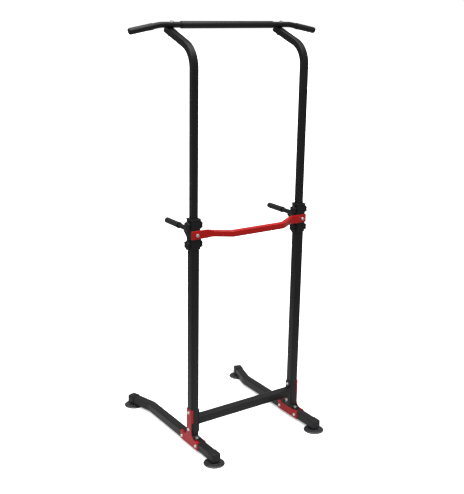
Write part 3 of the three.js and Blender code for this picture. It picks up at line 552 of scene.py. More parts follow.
# %% Places and tube sizes
SIDES = ((-1, "left"), (1, "right"))
UPRIGHT_X = middle("lower_upright_right").x
UPRIGHT_Y = middle("lower_upright_right").y
FOOT_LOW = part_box("foot_tube_right")[0].z
FOOT_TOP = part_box("foot_tube_right")[1].z
FOOT_CENTRE = (FOOT_LOW + FOOT_TOP) / 2
BIG_TUBE = FOOT_TOP - FOOT_LOW
BIG_WALL = 2 * MM
BIG_CORNER = 5 * MM
SMALL_TUBE = 38 * MM
SMALL_WALL = 2 * MM
SMALL_CORNER = 4 * MM
GAP = 0.3 * MM
print("upright axes at", round(UPRIGHT_X, 4), round(UPRIGHT_Y, 4), "tube", round(BIG_TUBE, 4))

# %% [markdown]
# ## Foot tubes
# Each foot is one length of square tube that runs level under the upright and splays outwards at the
# rear, where the tube bender has turned it. A ring is pushed to the bend, swung through the splay
# angle round a centre beside the tube, and pushed on to the end. Solidify adds the 2 mm wall inwards.

# %% Foot tubes
FOOT_SPLAY = radians(16)
FOOT_BEND = 120 * MM
FOOT_STRAIGHT = 500 * MM  # upright axis to the corner where the rear end splays out
SPLAY_TUBE = 185.7 * MM  # from that corner to the tube's end
BEND_REACH = FOOT_BEND * tan(FOOT_SPLAY / 2)

for side, word in SIDES:
    x = side * UPRIGHT_X
    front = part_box(f"foot_tube_{word}")[0].y
    bend = UPRIGHT_Y + FOOT_STRAIGHT - BEND_REACH
    outwards = Vector((side * sin(FOOT_SPLAY), cos(FOOT_SPLAY), 0))
    bm = bmesh.new()
    ring = square_ring(bm, BIG_TUBE, BIG_TUBE, BIG_CORNER, Matrix.Translation((x, front, FOOT_CENTRE)) @ TO_Y)
    ring = push(bm, ring, (0, bend - front, 0))
    ring = swing(bm, ring, (x + side * FOOT_BEND, bend, 0), (0, 0, 1), -side * FOOT_SPLAY, 10)
    push(bm, ring, outwards * (SPLAY_TUBE - BEND_REACH))
    finish_piece(f"foot_{word}", bm, black_coat, "base", [f"foot_tube_{word}"], wall=BIG_WALL)

# %% [markdown]
# ## Foot caps
# A moulded cap slides over each end of a foot. It has a thicker lip at its mouth, which stops the thin
# wall from splitting, and a shallow panel in its closed face where the moulding gate is hidden. The
# cap is one stack of rings that runs out along the inside, round the lip and back over the outside.

# %% Foot caps
CAP_LENGTH = 50 * MM
CAP_SIZE = 55.2 * MM
CAP_WALL = 2.3 * MM
CAP_END = 4 * MM
CAP_LIP = 0.9 * MM
CUP_SETBACK = 27 * MM


def foot_cap(name, node, face, turn):
    """face is the centre of the closed face, which looks along local +Z after the turn to +Y."""
    bore, corner = CAP_SIZE - 2 * CAP_WALL, BIG_CORNER + GAP
    lip = CAP_SIZE + 2 * CAP_LIP
    soft = BIG_CORNER + CAP_WALL
    panel = CAP_SIZE - 16 * MM
    place = Matrix.Translation(face) @ Matrix.Rotation(turn, 4, "Z") @ TO_Y
    bm = bmesh.new()
    stack(
        bm,
        [
            (bore, bore, corner, -CAP_END),
            (bore, bore, corner, -CAP_LENGTH + 1 * MM),
            (bore + 1.6 * MM, bore + 1.6 * MM, corner, -CAP_LENGTH),
            (lip - 1.4 * MM, lip - 1.4 * MM, soft, -CAP_LENGTH),
            (lip, lip, soft, -CAP_LENGTH + 0.8 * MM),
            (lip, lip, soft, -CAP_LENGTH + 5 * MM),
            (CAP_SIZE, CAP_SIZE, soft, -CAP_LENGTH + 6 * MM),
            (CAP_SIZE, CAP_SIZE, soft, -4.5 * MM),
            (CAP_SIZE - 0.9 * MM, CAP_SIZE - 0.9 * MM, soft, -2.3 * MM),
            (CAP_SIZE - 3.2 * MM, CAP_SIZE - 3.2 * MM, soft, -0.7 * MM),
            (CAP_SIZE - 7.5 * MM, CAP_SIZE - 7.5 * MM, soft - 2 * MM, 0),
            (panel, panel, 5 * MM, 0),
            (panel - 1.6 * MM, panel - 1.6 * MM, 4.4 * MM, -0.8 * MM),
        ],
        place,
        caps=(True, True),
    )
    finish_piece(name, bm, black_plastic, "base", [node])


for side, word in SIDES:
    front_face = (side * UPRIGHT_X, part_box(f"foot_cap_front_{word}")[0].y, FOOT_CENTRE)
    foot_cap(f"cap_front_{word}", f"foot_cap_front_{word}", front_face, pi)
    cup = middle(f"suction_cup_rear_{word}")
    outwards = Vector((side * sin(FOOT_SPLAY), cos(FOOT_SPLAY), 0))
    rear_face = Vector((cup.x, cup.y, FOOT_CENTRE)) + outwards * CUP_SETBACK
    foot_cap(f"cap_rear_{word}", f"foot_cap_rear_{word}", rear_face, -side * FOOT_SPLAY)

# %% [markdown]
# ## Suction cups
# Under each foot end sits a wide rubber cup. It is hollow underneath and touches the floor only with
# its rim, its top falls from a neck to a thin rolled edge, and two moulded rings stiffen it. It is one
# outline that is spun: out under the bell, round the rim, back over the rings and in to the neck.

# %% Suction cups
CUP_OUTLINE = [  # radius and height in mm
    (0, 8.0), (34, 5.6), (57.5, 0.0), (61.4, 0.0), (62, 2.6),
    (55, 5.9), (54, 7.2), (51, 7.3), (49.5, 6.6),
    (36, 9.0), (35, 10.3), (32, 10.6), (30.5, 9.9),
    (18.5, 11.6), (15, 15.1), (0, 15.1),
]

for side, word in SIDES:
    for end in ("front", "rear"):
        node = f"suction_cup_{end}_{word}"
        place = Matrix.Translation((middle(node).x, middle(node).y, 0))
        bm = bmesh.new()
        outline = [(radius * MM, height * MM) for radius, height in CUP_OUTLINE]
        lathe(bm, outline, place, {2: 1.2 * MM, 4: 1 * MM, 5: 0.8 * MM}, steps=72, arc=4)
        finish_piece(f"cup_{end}_{word}", bm, cup_rubber, "base", [node])

# %% [markdown]
# ## Welds
# Where a tube is joined to a plate the welder leaves a bead: a small rounded fillet with ripples, one
# for each step of the torch. A closed stack of five rings of the same rounded square, whose middle
# rings are moved in and out by a sine along the seam, gives that bead.

# %% Weld bead
BEAD = 4.5 * MM
RIPPLE = 0.35 * MM
RIPPLE_PITCH = 4 * MM
SEAM = BIG_TUBE - 2 * BEAD - 1.2 * MM  # keeps a bead inside the tube where the plate is no wider than it


def weld_bead(bm, wide, deep, corner, place):
    """A fillet round a tube that meets a plate: the plate is at local z = 0 and the tube runs along +Z."""
    stations = [
        (wide + 2 * out * BEAD, deep + 2 * out * BEAD, corner + out * BEAD, height * BEAD)
        for out, height in ((1.0, -0.05), (0.85, 0.25), (0.55, 0.6), (0.2, 0.9), (-0.05, 1.0))
    ]
    rings = stack(bm, stations, place, closed=True, cuts=27)
    for ring in rings[1:4]:
        for vert in ring_verts(ring):
            local = place.inverted() @ vert.co
            step = RIPPLE * sin((local.x - local.y) * 2 * pi / RIPPLE_PITCH)
            vert.co += place.to_3x3() @ Vector((local.x, local.y, 0)).normalized() * step


print("a bead is", round(BEAD / MM, 1), "mm high with a ripple every", round(RIPPLE_PITCH / MM, 1), "mm")

# %% [markdown]
# ## Lower uprights
# A lower upright is a square tube on a flat flange that is bolted down through the foot. The flange and
# the tube are closed stacks, and a weld bead shows in front of and behind the tube, where the flange is
# longer than the tube is deep. The tube's top is open, because the sliding tube and its plastic liner
# go in there.

# %% Lower uprights
FLANGE_THICK = 5 * MM
FLANGE_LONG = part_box("lower_upright_right")[1].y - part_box("lower_upright_right")[0].y
UPRIGHT_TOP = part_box("lower_upright_right")[1].z


def slab(bm, wide, deep, thick, corner, place=Matrix(), ease=0.5 * MM):
    """A flat plate with round corners and eased edges, from local z = 0 up to its thickness."""
    inner = (wide - 2 * ease, deep - 2 * ease, corner - ease)
    stations = [(*inner, 0), (wide, deep, corner, ease), (wide, deep, corner, thick - ease), (*inner, thick)]
    stack(bm, stations, place, caps=(True, True))


for side, word in SIDES:
    node = f"lower_upright_{word}"
    foot = Matrix.Translation((side * UPRIGHT_X, UPRIGHT_Y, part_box(node)[0].z))
    bm = bmesh.new()
    slab(bm, BIG_TUBE, FLANGE_LONG, FLANGE_THICK, BIG_CORNER, foot)
    tube_foot = foot @ Matrix.Translation((0, 0, FLANGE_THICK))
    tall = UPRIGHT_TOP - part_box(node)[0].z - FLANGE_THICK
    outer = (BIG_TUBE, BIG_TUBE, BIG_CORNER)
    inner = (BIG_TUBE - 2 * BIG_WALL, BIG_TUBE - 2 * BIG_WALL, BIG_CORNER - BIG_WALL)
    stack(bm, [(*inner, 0), (*outer, 0), (*outer, tall), (*inner, tall)], tube_foot, closed=True)
    weld_bead(bm, SEAM, BIG_TUBE, BIG_CORNER, tube_foot)
    finish_piece(f"upright_{word}", bm, black_coat, "base", [node])

# %% [markdown]
# ## Stamped foot plates
# The red T-shaped gusset outside each foot and the straight plate inside it are stamped from 2.5 mm
# sheet. The outline is a few points with its two inner corners bevelled into fillets. The lips are
# folded: the edge is swung a quarter turn round the bend radius and then pushed on, so that the fold
# is round as on a press brake. Solidify gives the thickness and Bevel eases the sheared edges.

# %% Stamped foot plates
PLATE_THICK = 2.5 * MM
FOLD = 2.8 * MM
FOLD_STEPS = 5
PLATE_FACE = BIG_TUBE / 2 + GAP + PLATE_THICK
GUSSET_FILLET = 36 * MM
LIP_TALL = 82 * MM
LIP_WIDE = 13 * MM
NARROW_TAB = 5.5 * MM  # the straight plates only hook over the foot's edge
TAB_LONG = 31 * MM
SHEARED_EDGE = 0.35 * MM


def spots(points):
    """Places to a hundredth of a millimetre, by which an edge is found again."""
    return {tuple(round(c / MM, 2) for c in point) for point in points}


def fold(bm, ends, inside, axis, flap, turn):
    """Folds the straight edge between two points inwards by a quarter turn and pushes the flap on."""
    line = next(edge for edge in bm.edges if spots(vert.co for vert in edge.verts) == spots(ends))
    push(bm, swing(bm, [line], inside, axis, turn, FOLD_STEPS), flap)


def stamped_plate(bm, leg_top, tab_wide):
    """Plate on the +X side, drawn in the plane of its outer face; leg_top is 0 for the straight one."""
    x = PLATE_FACE
    end = (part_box("outer_gusset_right")[1].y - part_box("outer_gusset_right")[0].y) / 2
    top = FOOT_TOP + GAP + PLATE_THICK - FOLD
    leg = BIG_TUBE / 2 + GAP + PLATE_THICK - FOLD
    tab = end - TAB_LONG
    shoulder = FOOT_TOP + GAP
    points = [(-end, FOOT_LOW), (end, FOOT_LOW), (end, top), (tab, top), (tab, shoulder)]
    if leg_top:
        lip_foot = leg_top - LIP_TALL
        rim = leg + FOLD - PLATE_THICK
        points += [
            (rim, shoulder), (rim, lip_foot), (leg, lip_foot), (leg, leg_top),
            (-leg, leg_top), (-leg, lip_foot), (-rim, lip_foot), (-rim, shoulder),
        ]
    points += [(-tab, shoulder), (-tab, top), (-end, top)]
    verts = [bm.verts.new((x, y, z)) for y, z in points]
    bm.faces.new(verts)
    corners = [v for v in verts if leg_top and abs(abs(v.co.y) - rim) < MM and abs(v.co.z - shoulder) < MM]
    if corners:
        bmesh.ops.bevel(
            bm, geom=corners, offset=GUSSET_FILLET, segments=14, profile=0.5, affect="VERTICES", material=-1
        )
    for way in (-1, 1):
        ends = [(x, way * end, top), (x, way * tab, top)]
        axis_at = (x - FOLD, way * end, top)
        fold(bm, ends, axis_at, (0, 1, 0), (-(tab_wide - FOLD), 0, 0), -pi / 2)
        if leg_top:
            ends = [(x, way * leg, lip_foot), (x, way * leg, leg_top)]
            axis_at = (x - FOLD, way * leg, lip_foot)
            fold(bm, ends, axis_at, (0, 0, 1), (-(LIP_WIDE - FOLD), 0, 0), way * pi / 2)


for side, word in SIDES:
    base_at = Matrix.Translation((side * UPRIGHT_X, UPRIGHT_Y, 0))
    for kind, leg_top, tab_wide, turn in (
        ("outer_gusset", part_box("outer_gusset_right")[1].z, LIP_WIDE, 0),
        ("inner_plate", 0, NARROW_TAB, pi),
    ):
        bm = bmesh.new()
        stamped_plate(bm, leg_top, tab_wide)
        facing = Matrix.Rotation(turn + (pi if side < 0 else 0), 4, "Z")
        bmesh.ops.transform(bm, matrix=base_at @ facing, verts=bm.verts)
        sheet, nodes = f"{kind}_sheet_{word}", [f"{kind}_{word}"]
        finish_piece(sheet, bm, plate_coat, "base", nodes, wall=PLATE_THICK, edge=SHEARED_EDGE)

# %% [markdown]
# ## Hexagon bolts
# The frame is held by M10 bolts. A head is a six-sided disc whose top corners are turned off by a
# chamfer, on a round washer face. A nut is chamfered at both ends and has no washer face. The shank has
# ridges at the real 1.5 mm pitch of its thread. They are plain turned rings, which look the same at this
# size as ridges that wind round.

# %% Bolt, nut and thread
BOLT_RADIUS = 5 * MM
HEAD_RADIUS = 9.5 * MM
HEAD_THICK = 6.5 * MM
NUT_THICK = 8 * MM
PITCH = 1.5 * MM
THREAD_DEPTH = 0.85 * MM
CHAMFER = 1.1 * MM
WASHER_FACE = 1.2 * MM
TAIL = 2 * MM  # thread that stands out of the nut


def hexagon(bm, low, high, place, chamfer_low, chamfer_high):
    """A hexagon from low to high; a chamfered end is crowned by a circle inside its flats."""
    flat = HEAD_RADIUS * cos(pi / 6)
    levels = [(HEAD_RADIUS, low + chamfer_low), (HEAD_RADIUS, high - chamfer_high)]
    rings = []
    for radius, height in levels:
        fit = place @ Matrix.Translation((0, 0, height))
        made = bmesh.ops.create_circle(bm, segments=24, radius=radius, cap_ends=False)
        for vert in made["verts"]:
            angle = (pi / 6 + (vert.co.to_2d().angle_signed(Vector((1, 0))) % (pi / 3))) % (pi / 3) - pi / 6
            vert.co *= flat / cos(angle) / radius
        bmesh.ops.transform(bm, matrix=fit, verts=made["verts"])
        rings.append(list({e for v in made["verts"] for e in v.link_edges}))
    for radius, height in ((flat * 0.97, low), (flat * 0.97, high)):
        fit = place @ Matrix.Translation((0, 0, height))
        made = bmesh.ops.create_circle(bm, segments=24, radius=radius, cap_ends=True, matrix=fit)
        rings.append(list({e for v in made["verts"] for e in v.link_edges}))
    for first, second in ((0, 1), (0, 2), (1, 3)):
        bmesh.ops.bridge_loops(bm, edges=rings[first] + rings[second])


def threaded_end(bm, low, high, place):
    """A shank from low to high whose ridges show the screw's pitch."""
    outline, z, root = [(0, low)], low + 0.6 * MM, BOLT_RADIUS - THREAD_DEPTH
    outline.append((root, low))
    while z + PITCH < high:
        outline += [(BOLT_RADIUS, z), (root, z + PITCH / 2)]
        z += PITCH
    outline += [(BOLT_RADIUS, z), (BOLT_RADIUS, high), (0, high)]
    lathe(bm, outline, place, steps=24)


def hex_bolt(name, node, body, place, grip, nut=True):
    """Head seat at local z = 0, shank down -Z; the nut seats at -grip."""
    bm = bmesh.new()
    washer = [(0, 0), (HEAD_RADIUS, 0), (HEAD_RADIUS, WASHER_FACE), (0, WASHER_FACE)]
    lathe(bm, washer, place, {1: 0.3 * MM, 2: 0.3 * MM}, steps=32, arc=2)
    hexagon(bm, WASHER_FACE - 0.1 * MM, HEAD_THICK, place, 0, CHAMFER)
    end = -grip - (NUT_THICK + TAIL if nut else 0)
    threaded_end(bm, end, 0.5 * MM, place)
    if nut:
        hexagon(bm, -grip - NUT_THICK, -grip, place, CHAMFER, CHAMFER)
    finish_piece(name, bm, zinc_plate, body, [node])


def bolt_place(node, axis, way):
    """Where a straight bolt's head seats, read from its CAD box; way is the head's side along the axis."""
    low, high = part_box(node)
    seat = (low + high) / 2
    seat[axis] = (high[axis] if way > 0 else low[axis]) - way * HEAD_THICK
    turns = (Matrix.Rotation(way * pi / 2, 4, "Y"), Matrix.Rotation(-way * pi / 2, 4, "X"), Matrix())
    long = high[axis] - low[axis]
    return Matrix.Translation(seat) @ turns[axis], long - HEAD_THICK - NUT_THICK - TAIL


for side, word in SIDES:
    for row, axis, way in (
        ("foot_bolt_front", 0, side), ("foot_bolt_rear", 0, side), ("upright_bolt_lower", 0, side),
        ("upright_bolt_upper", 0, side), ("flange_bolt_front", 2, 1), ("flange_bolt_rear", 2, 1),
    ):
        place, grip = bolt_place(f"{row}_{word}", axis, way)
        hex_bolt(f"hex_{row}_{word}", f"{row}_{word}", "base", place, grip)
    node = f"brace_bolt_{word}"
    place, grip = bolt_place(node, 1, -1)
    hex_bolt(f"hex_{node}", node, "base", place, grip + NUT_THICK + TAIL, nut=False)

# %% [markdown]
# ## Cross beam
# The beam between the uprights is the same square tube with a tall plate welded on each end. The
# plates are slabs turned to face along X, the tube is a closed stack between them, and a bead shows
# above and below the tube, where the plate is taller.

# %% Cross beam
END_PLATE_THICK = 4 * MM
beam_low, beam_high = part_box("cross_beam")
beam_mid = (beam_low + beam_high) / 2
plate_tall = beam_high.z - beam_low.z
inside = beam_high.x - END_PLATE_THICK

bm = bmesh.new()
for way in (-1, 1):
    end_at = Matrix.Translation((way * inside, UPRIGHT_Y, beam_mid.z))
    outward = end_at @ Matrix.Rotation(way * pi / 2, 4, "Y")
    slab(bm, plate_tall, BIG_TUBE, END_PLATE_THICK, BIG_CORNER, outward)
start = Matrix.Translation((-inside, UPRIGHT_Y, beam_mid.z)) @ TO_X
outer = (BIG_TUBE, BIG_TUBE, BIG_CORNER)
inner = (BIG_TUBE - 2 * BIG_WALL, BIG_TUBE - 2 * BIG_WALL, BIG_CORNER - BIG_WALL)
stack(bm, [(*inner, 0), (*outer, 0), (*outer, 2 * inside), (*inner, 2 * inside)], start, closed=True)
for way in (-1, 1):
    end_at = Matrix.Translation((way * inside, UPRIGHT_Y, beam_mid.z))
    inward = end_at @ Matrix.Rotation(-way * pi / 2, 4, "Y")
    weld_bead(bm, BIG_TUBE, SEAM, BIG_CORNER, inward)
finish_piece("beam", bm, black_coat, "base", ["cross_beam"])

# %% [markdown]
# ## Clamp sleeves
# Each sleeve is a square steel jacket round the top of the lower upright. A thick collar crowns it,
# round bosses take the four knob studs, a socket takes the dip handle and a curved rib holds the
# socket up. The jacket is one closed stack that goes up the outside, over the collar and down inside.

# %% Clamp sleeves
sleeve_low, sleeve_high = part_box("sleeve_right")
SLEEVE_SIZE = 60 * MM
SLEEVE_CORNER = 8 * MM
SLEEVE_BORE = BIG_TUBE + 2 * GAP
COLLAR = 66 * MM
COLLAR_THICK = 5 * MM
KNOB_HEIGHTS = {"upper": middle("knob_upper_outer_right").z, "lower": middle("knob_lower_outer_right").z}
BOSS_RADIUS = 16 * MM
BOSS_RISE = 3 * MM
handle_low, handle_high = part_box("dip_handle_right")
HANDLE_HEIGHT = (handle_low.z + handle_high.z) / 2
HANDLE_RADIUS = (handle_high.z - handle_low.z) / 2
SOCKET_RADIUS = HANDLE_RADIUS + 4.3 * MM
SOCKET_END = 64 * MM  # upright axis to the socket's mouth
RIB_THICK = 8 * MM
RIB_TIP = 102 * MM  # upright axis to the rib's outer end
RIB_TALL = 74 * MM
RIB_TOE = 5 * MM  # how thick the web is left at both ends of its curve


def sleeve_jacket(bm, place):
    """The square jacket with its collar, from its lower end at local z = 0."""
    rise = sleeve_high.z - sleeve_low.z
    bore = SMALL_TUBE + 2 * GAP
    body = (SLEEVE_SIZE, SLEEVE_SIZE, SLEEVE_CORNER)
    crown = (COLLAR, COLLAR, SLEEVE_CORNER + 3 * MM)
    eased = (COLLAR - 2 * MM, COLLAR - 2 * MM, SLEEVE_CORNER + 2 * MM)
    low_eased = (SLEEVE_SIZE - 2 * MM, SLEEVE_SIZE - 2 * MM, SLEEVE_CORNER - 1 * MM)
    cavity = UPRIGHT_TOP + GAP - sleeve_low.z
    stack(
        bm,
        [
            (SLEEVE_BORE, SLEEVE_BORE, BIG_CORNER, 0),
            (*low_eased, 0),
            (*body, 1 * MM),
            (*body, rise - COLLAR_THICK - 1.5 * MM),
            (SLEEVE_SIZE + 1 * MM, SLEEVE_SIZE + 1 * MM, SLEEVE_CORNER, rise - COLLAR_THICK - 0.4 * MM),
            (*eased, rise - COLLAR_THICK),
            (*crown, rise - COLLAR_THICK + 1 * MM),
            (*crown, rise - 1 * MM),
            (*eased, rise),
            (bore + 1 * MM, bore + 1 * MM, SMALL_CORNER + 0.5 * MM, rise),
            (bore, bore, SMALL_CORNER, rise - 0.5 * MM),
            (bore, bore, SMALL_CORNER, cavity),
            (SLEEVE_BORE, SLEEVE_BORE, BIG_CORNER, cavity),
        ],
        place,
        closed=True,
    )


def knob_boss(bm, place, way, height):
    """A turned pad round a stud hole, standing out of the sleeve's side."""
    root, face = SLEEVE_SIZE / 2 - 1 * MM, SLEEVE_SIZE / 2 + BOSS_RISE
    hole = BOLT_RADIUS + GAP
    outline = [(hole, root), (BOSS_RADIUS + 1.2 * MM, root), (BOSS_RADIUS, face), (hole, face), (hole, root)]
    side_on = place @ Matrix.Translation((0, 0, height)) @ Matrix.Rotation(way * pi / 2, 4, "Y")
    lathe(bm, outline, side_on, {2: 1 * MM}, steps=40, arc=3)


def handle_socket(bm, place):
    """The welded ring that the dip handle is pressed into."""
    root, bore = SLEEVE_SIZE / 2 - 1 * MM, HANDLE_RADIUS + GAP
    outline = [
        (bore, root), (SOCKET_RADIUS + 4 * MM, root), (SOCKET_RADIUS, root + 5 * MM),
        (SOCKET_RADIUS, SOCKET_END), (bore, SOCKET_END), (bore, root),
    ]
    lathe(bm, outline, place @ Matrix.Translation((0, 0, HANDLE_HEIGHT)) @ TO_Y, {2: 3 * MM, 3: 1.5 * MM})


def handle_rib(bm, place):
    """The web under the socket: a triangle whose lower edge is hollowed to a curve."""
    root = SLEEVE_SIZE / 2 - 1 * MM
    top = HANDLE_HEIGHT - HANDLE_RADIUS - 2 * GAP
    foot = top - RIB_TALL
    points = [(root, foot), (root + RIB_TOE, foot)]
    bow = Vector(((root + RIB_TIP) / 2 - RIB_TOE, (foot + top) / 2))
    first, last = Vector(points[1]), Vector((RIB_TIP, top - RIB_TOE))
    for k in range(1, 12):
        t = k / 12
        points.append(tuple(first * (1 - t) ** 2 + bow * 2 * t * (1 - t) + last * t**2))
    points += [tuple(last), (RIB_TIP, top), (root, top)]
    face = bm.faces.new([bm.verts.new((-RIB_THICK / 2, y, z)) for y, z in points])
    made = bmesh.ops.extrude_face_region(bm, geom=[face])["geom"]
    verts = [part for part in made if isinstance(part, bmesh.types.BMVert)]
    bmesh.ops.translate(bm, vec=(RIB_THICK, 0, 0), verts=verts)
    verts += list(face.verts)
    bmesh.ops.transform(bm, matrix=place, verts=verts)


for side, word in SIDES:
    axis_at = Matrix.Translation((side * UPRIGHT_X, UPRIGHT_Y, 0))
    bm = bmesh.new()
    sleeve_jacket(bm, axis_at @ Matrix.Translation((0, 0, sleeve_low.z)))
    for way in (-1, 1):
        for height in KNOB_HEIGHTS.values():
            knob_boss(bm, axis_at, way, height)
    handle_socket(bm, axis_at)
    handle_rib(bm, axis_at)
    finish_piece(f"clamp_sleeve_{word}", bm, black_coat, "base", [f"sleeve_{word}"], edge=0.5 * MM)

# %% [markdown]
# ## Dip handles and their grips
# A round tube is pressed into each socket and carries a rubber grip. The grip is closed at the end and
# rounded, and it starts with a raised collar that keeps the hand off the sleeve. Both are turned
# shapes that point along Y.

# %% Dip handles and grips
def closed_grip(bm, place, bore, outer, length, collar, end_wall):
    """Grip from its mouth at z = 0 to its closed end; collar is the mouth ring's rise, or 0."""
    rim = [(outer + collar, 0), (outer + collar, 8 * MM), (outer, 10 * MM)] if collar else [(outer, 0)]
    inside = [(0, length - end_wall), (bore, length - end_wall), (bore, 0)]
    outline = [*inside, *rim, (outer, length), (0, length)]
    dome = len(outline) - 2
    lathe(bm, outline, place, {2: 0.8 * MM, 3: 0.8 * MM, dome: outer * 0.55}, steps=48, arc=7)


GRIP_WALL = 4 * MM
for side, word in SIDES:
    low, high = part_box(f"dip_handle_{word}")
    x = side * UPRIGHT_X
    length = high.y - low.y
    bore = HANDLE_RADIUS - 2 * MM
    outline = [(bore, 0), (HANDLE_RADIUS, 0), (HANDLE_RADIUS, length), (bore, length), (bore, 0)]
    bm = bmesh.new()
    lathe(bm, outline, Matrix.Translation((x, low.y, HANDLE_HEIGHT)) @ TO_Y, steps=40)
    finish_piece(f"handle_{word}", bm, black_coat, "base", [f"dip_handle_{word}"])

    low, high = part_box(f"dip_grip_{word}")
    outer = HANDLE_RADIUS + 3.5 * MM
    bm = bmesh.new()
    place = Matrix.Translation((x, low.y, HANDLE_HEIGHT)) @ TO_Y
    closed_grip(bm, place, HANDLE_RADIUS + GAP, outer, high.y - low.y, 1.5 * MM, GRIP_WALL)
    finish_piece(f"handle_grip_{word}", bm, grip_rubber, "base", [f"dip_grip_{word}"])

# %% [markdown]
# ## Star knobs
# The clamp is tightened by six-lobed star knobs. The outline is a circle whose radius swells and sinks
# six times. It is extruded up in steps: a short skirt, the full lobes, a rounded shoulder, and a top
# that blends from the lobed outline to a round cap with a shallow groove round it, the way a moulded
# knob hides its metal insert. A plain stud stands for the thread, which is out of sight in the sleeve.

# %% Star knobs
KNOB_RADIUS = 27 * MM
KNOB_SCALLOP = 5 * MM
KNOB_POINTS = 96
LOBES = 6
STUD_CHAMFER = 0.8 * MM
STUD_ROOT = 1 * MM  # how far the stud goes into the knob


def star_knob(bm, place, stud):
    """Seat at local z = 0, head up +Z, stud down -Z."""
    steps = [  # how lobed, share of the full size, height in mm
        (1.0, 0.80, 0.0), (1.0, 0.90, 0.2), (1.0, 0.955, 0.9), (1.0, 1.0, 2.4), (1.0, 1.0, 10.6),
        (1.0, 0.985, 11.8), (0.95, 0.94, 12.9), (0.8, 0.85, 13.7), (0.4, 0.70, 14.2), (0.0, 0.60, 14.3),
        (0.0, 0.565, 13.4), (0.0, 0.53, 13.4), (0.0, 0.50, 14.4), (0.0, 0.34, 14.9), (0.0, 0.12, 15.0),
    ]
    made = bmesh.ops.create_circle(bm, segments=KNOB_POINTS, radius=1, cap_ends=False)
    ring = list({line for vert in made["verts"] for line in vert.link_edges})
    for index, (lobed, size, height) in enumerate(steps):
        if index:
            ring = push(bm, ring, (0, 0, 0))
        for vert in ring_verts(ring):
            angle = Vector((1, 0)).angle_signed(vert.co.to_2d())
            dip = KNOB_SCALLOP * (1 - cos(LOBES * angle)) / 2
            radius = (KNOB_RADIUS - lobed * dip - (1 - lobed) * KNOB_SCALLOP / 2) * size
            vert.co = Vector((radius * cos(angle), -radius * sin(angle), height * MM))
        if index in (0, len(steps) - 1):
            bmesh.ops.contextual_create(bm, geom=ring)
    bmesh.ops.transform(bm, matrix=place, verts=bm.verts)
    point, root = (BOLT_RADIUS - STUD_CHAMFER, -stud), (BOLT_RADIUS, STUD_ROOT)
    outline = [(0, -stud), point, (BOLT_RADIUS, -stud + STUD_CHAMFER), root, (0, STUD_ROOT)]
    lathe(bm, outline, place, steps=24)


SEAT = SLEEVE_SIZE / 2 + BOSS_RISE + GAP
for side, word in SIDES:
    for row, tip in (("upper", SMALL_TUBE / 2 + GAP), ("lower", BIG_TUBE / 2 + GAP)):
        for way in (-1, 1):
            where = "outer" if way == side else "inner"
            at = (side * UPRIGHT_X + way * SEAT, UPRIGHT_Y, KNOB_HEIGHTS[row])
            place = Matrix.Translation(at) @ Matrix.Rotation(way * pi / 2, 4, "Y")
            bm = bmesh.new()
            star_knob(bm, place, SEAT - tip)
            finish_piece(
                f"star_{row}_{where}_{word}", bm, black_plastic, f"{row}_{where}_knob_{word}",
                [f"knob_{row}_{where}_{word}"],
            )

# %% [markdown]
# ## Brace bar
# The red bar is a square tube whose ends are pressed flat in a die, so that they can be bolted to the
# front of the sleeves, and it is bent twice on each side so that its middle stands forward. A ring is
# pushed along X in small steps. At each station it is made thinner and taller as the press leaves it,
# and the whole bar is then moved forward by the bow's formula.

# %% Brace bar
brace_low, brace_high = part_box("brace_bar")
BRACE_HEIGHT = (brace_low.z + brace_high.z) / 2
BRACE_TUBE = 35 * MM
BRACE_END_THICK = 12 * MM
BRACE_END_TALL = brace_high.z - brace_low.z
BRACE_BACK = brace_high.y  # the face that bears on the sleeves
BRACE_BOW = (brace_high.y - brace_low.y) - (BRACE_TUBE + BRACE_END_THICK) / 2
FLAT_END = UPRIGHT_X - 65 * MM
PRESS_START = FLAT_END - 44 * MM
OUTER_BEND = UPRIGHT_X - 90 * MM
INNER_BEND = OUTER_BEND - 100 * MM
EASE = 7 * MM
PRESS_HOLLOW = 0.10  # share of the depth by which the press dents the faces on the way to the flat end
HOLLOW_TALL = 0.42  # half height of that dent, as a share of the tube
RIM_EASE = 1.5 * MM


def smooth(t):
    """Rises softly from 0 to 1 while t goes from 0 to 1."""
    held = min(max(t, 0), 1)
    return held * held * (3 - 2 * held)


def bow(x):
    """How far forward the bar stands at a distance from its middle."""

    def ramp(t):  # 0, then t, with a soft start
        return (t + EASE) ** 2 / (4 * EASE) if abs(t) < EASE else max(t, 0)

    slope = BRACE_BOW / (OUTER_BEND - INNER_BEND)
    return BRACE_BOW - slope * (ramp(x - INNER_BEND) - ramp(x - OUTER_BEND))


def spread(start, end, steps):
    """Evenly spaced values from start to end, without the start itself."""
    return [start + (end - start) * k / steps for k in range(1, steps + 1)]


half = [0, INNER_BEND - EASE]
half += spread(half[-1], INNER_BEND + EASE, 6)
half += spread(half[-1], PRESS_START, 2)
half += spread(half[-1], FLAT_END, 22)
half += [brace_high.x - RIM_EASE, brace_high.x - RIM_EASE / 3, brace_high.x]
places = [-x for x in reversed(half[1:])] + half

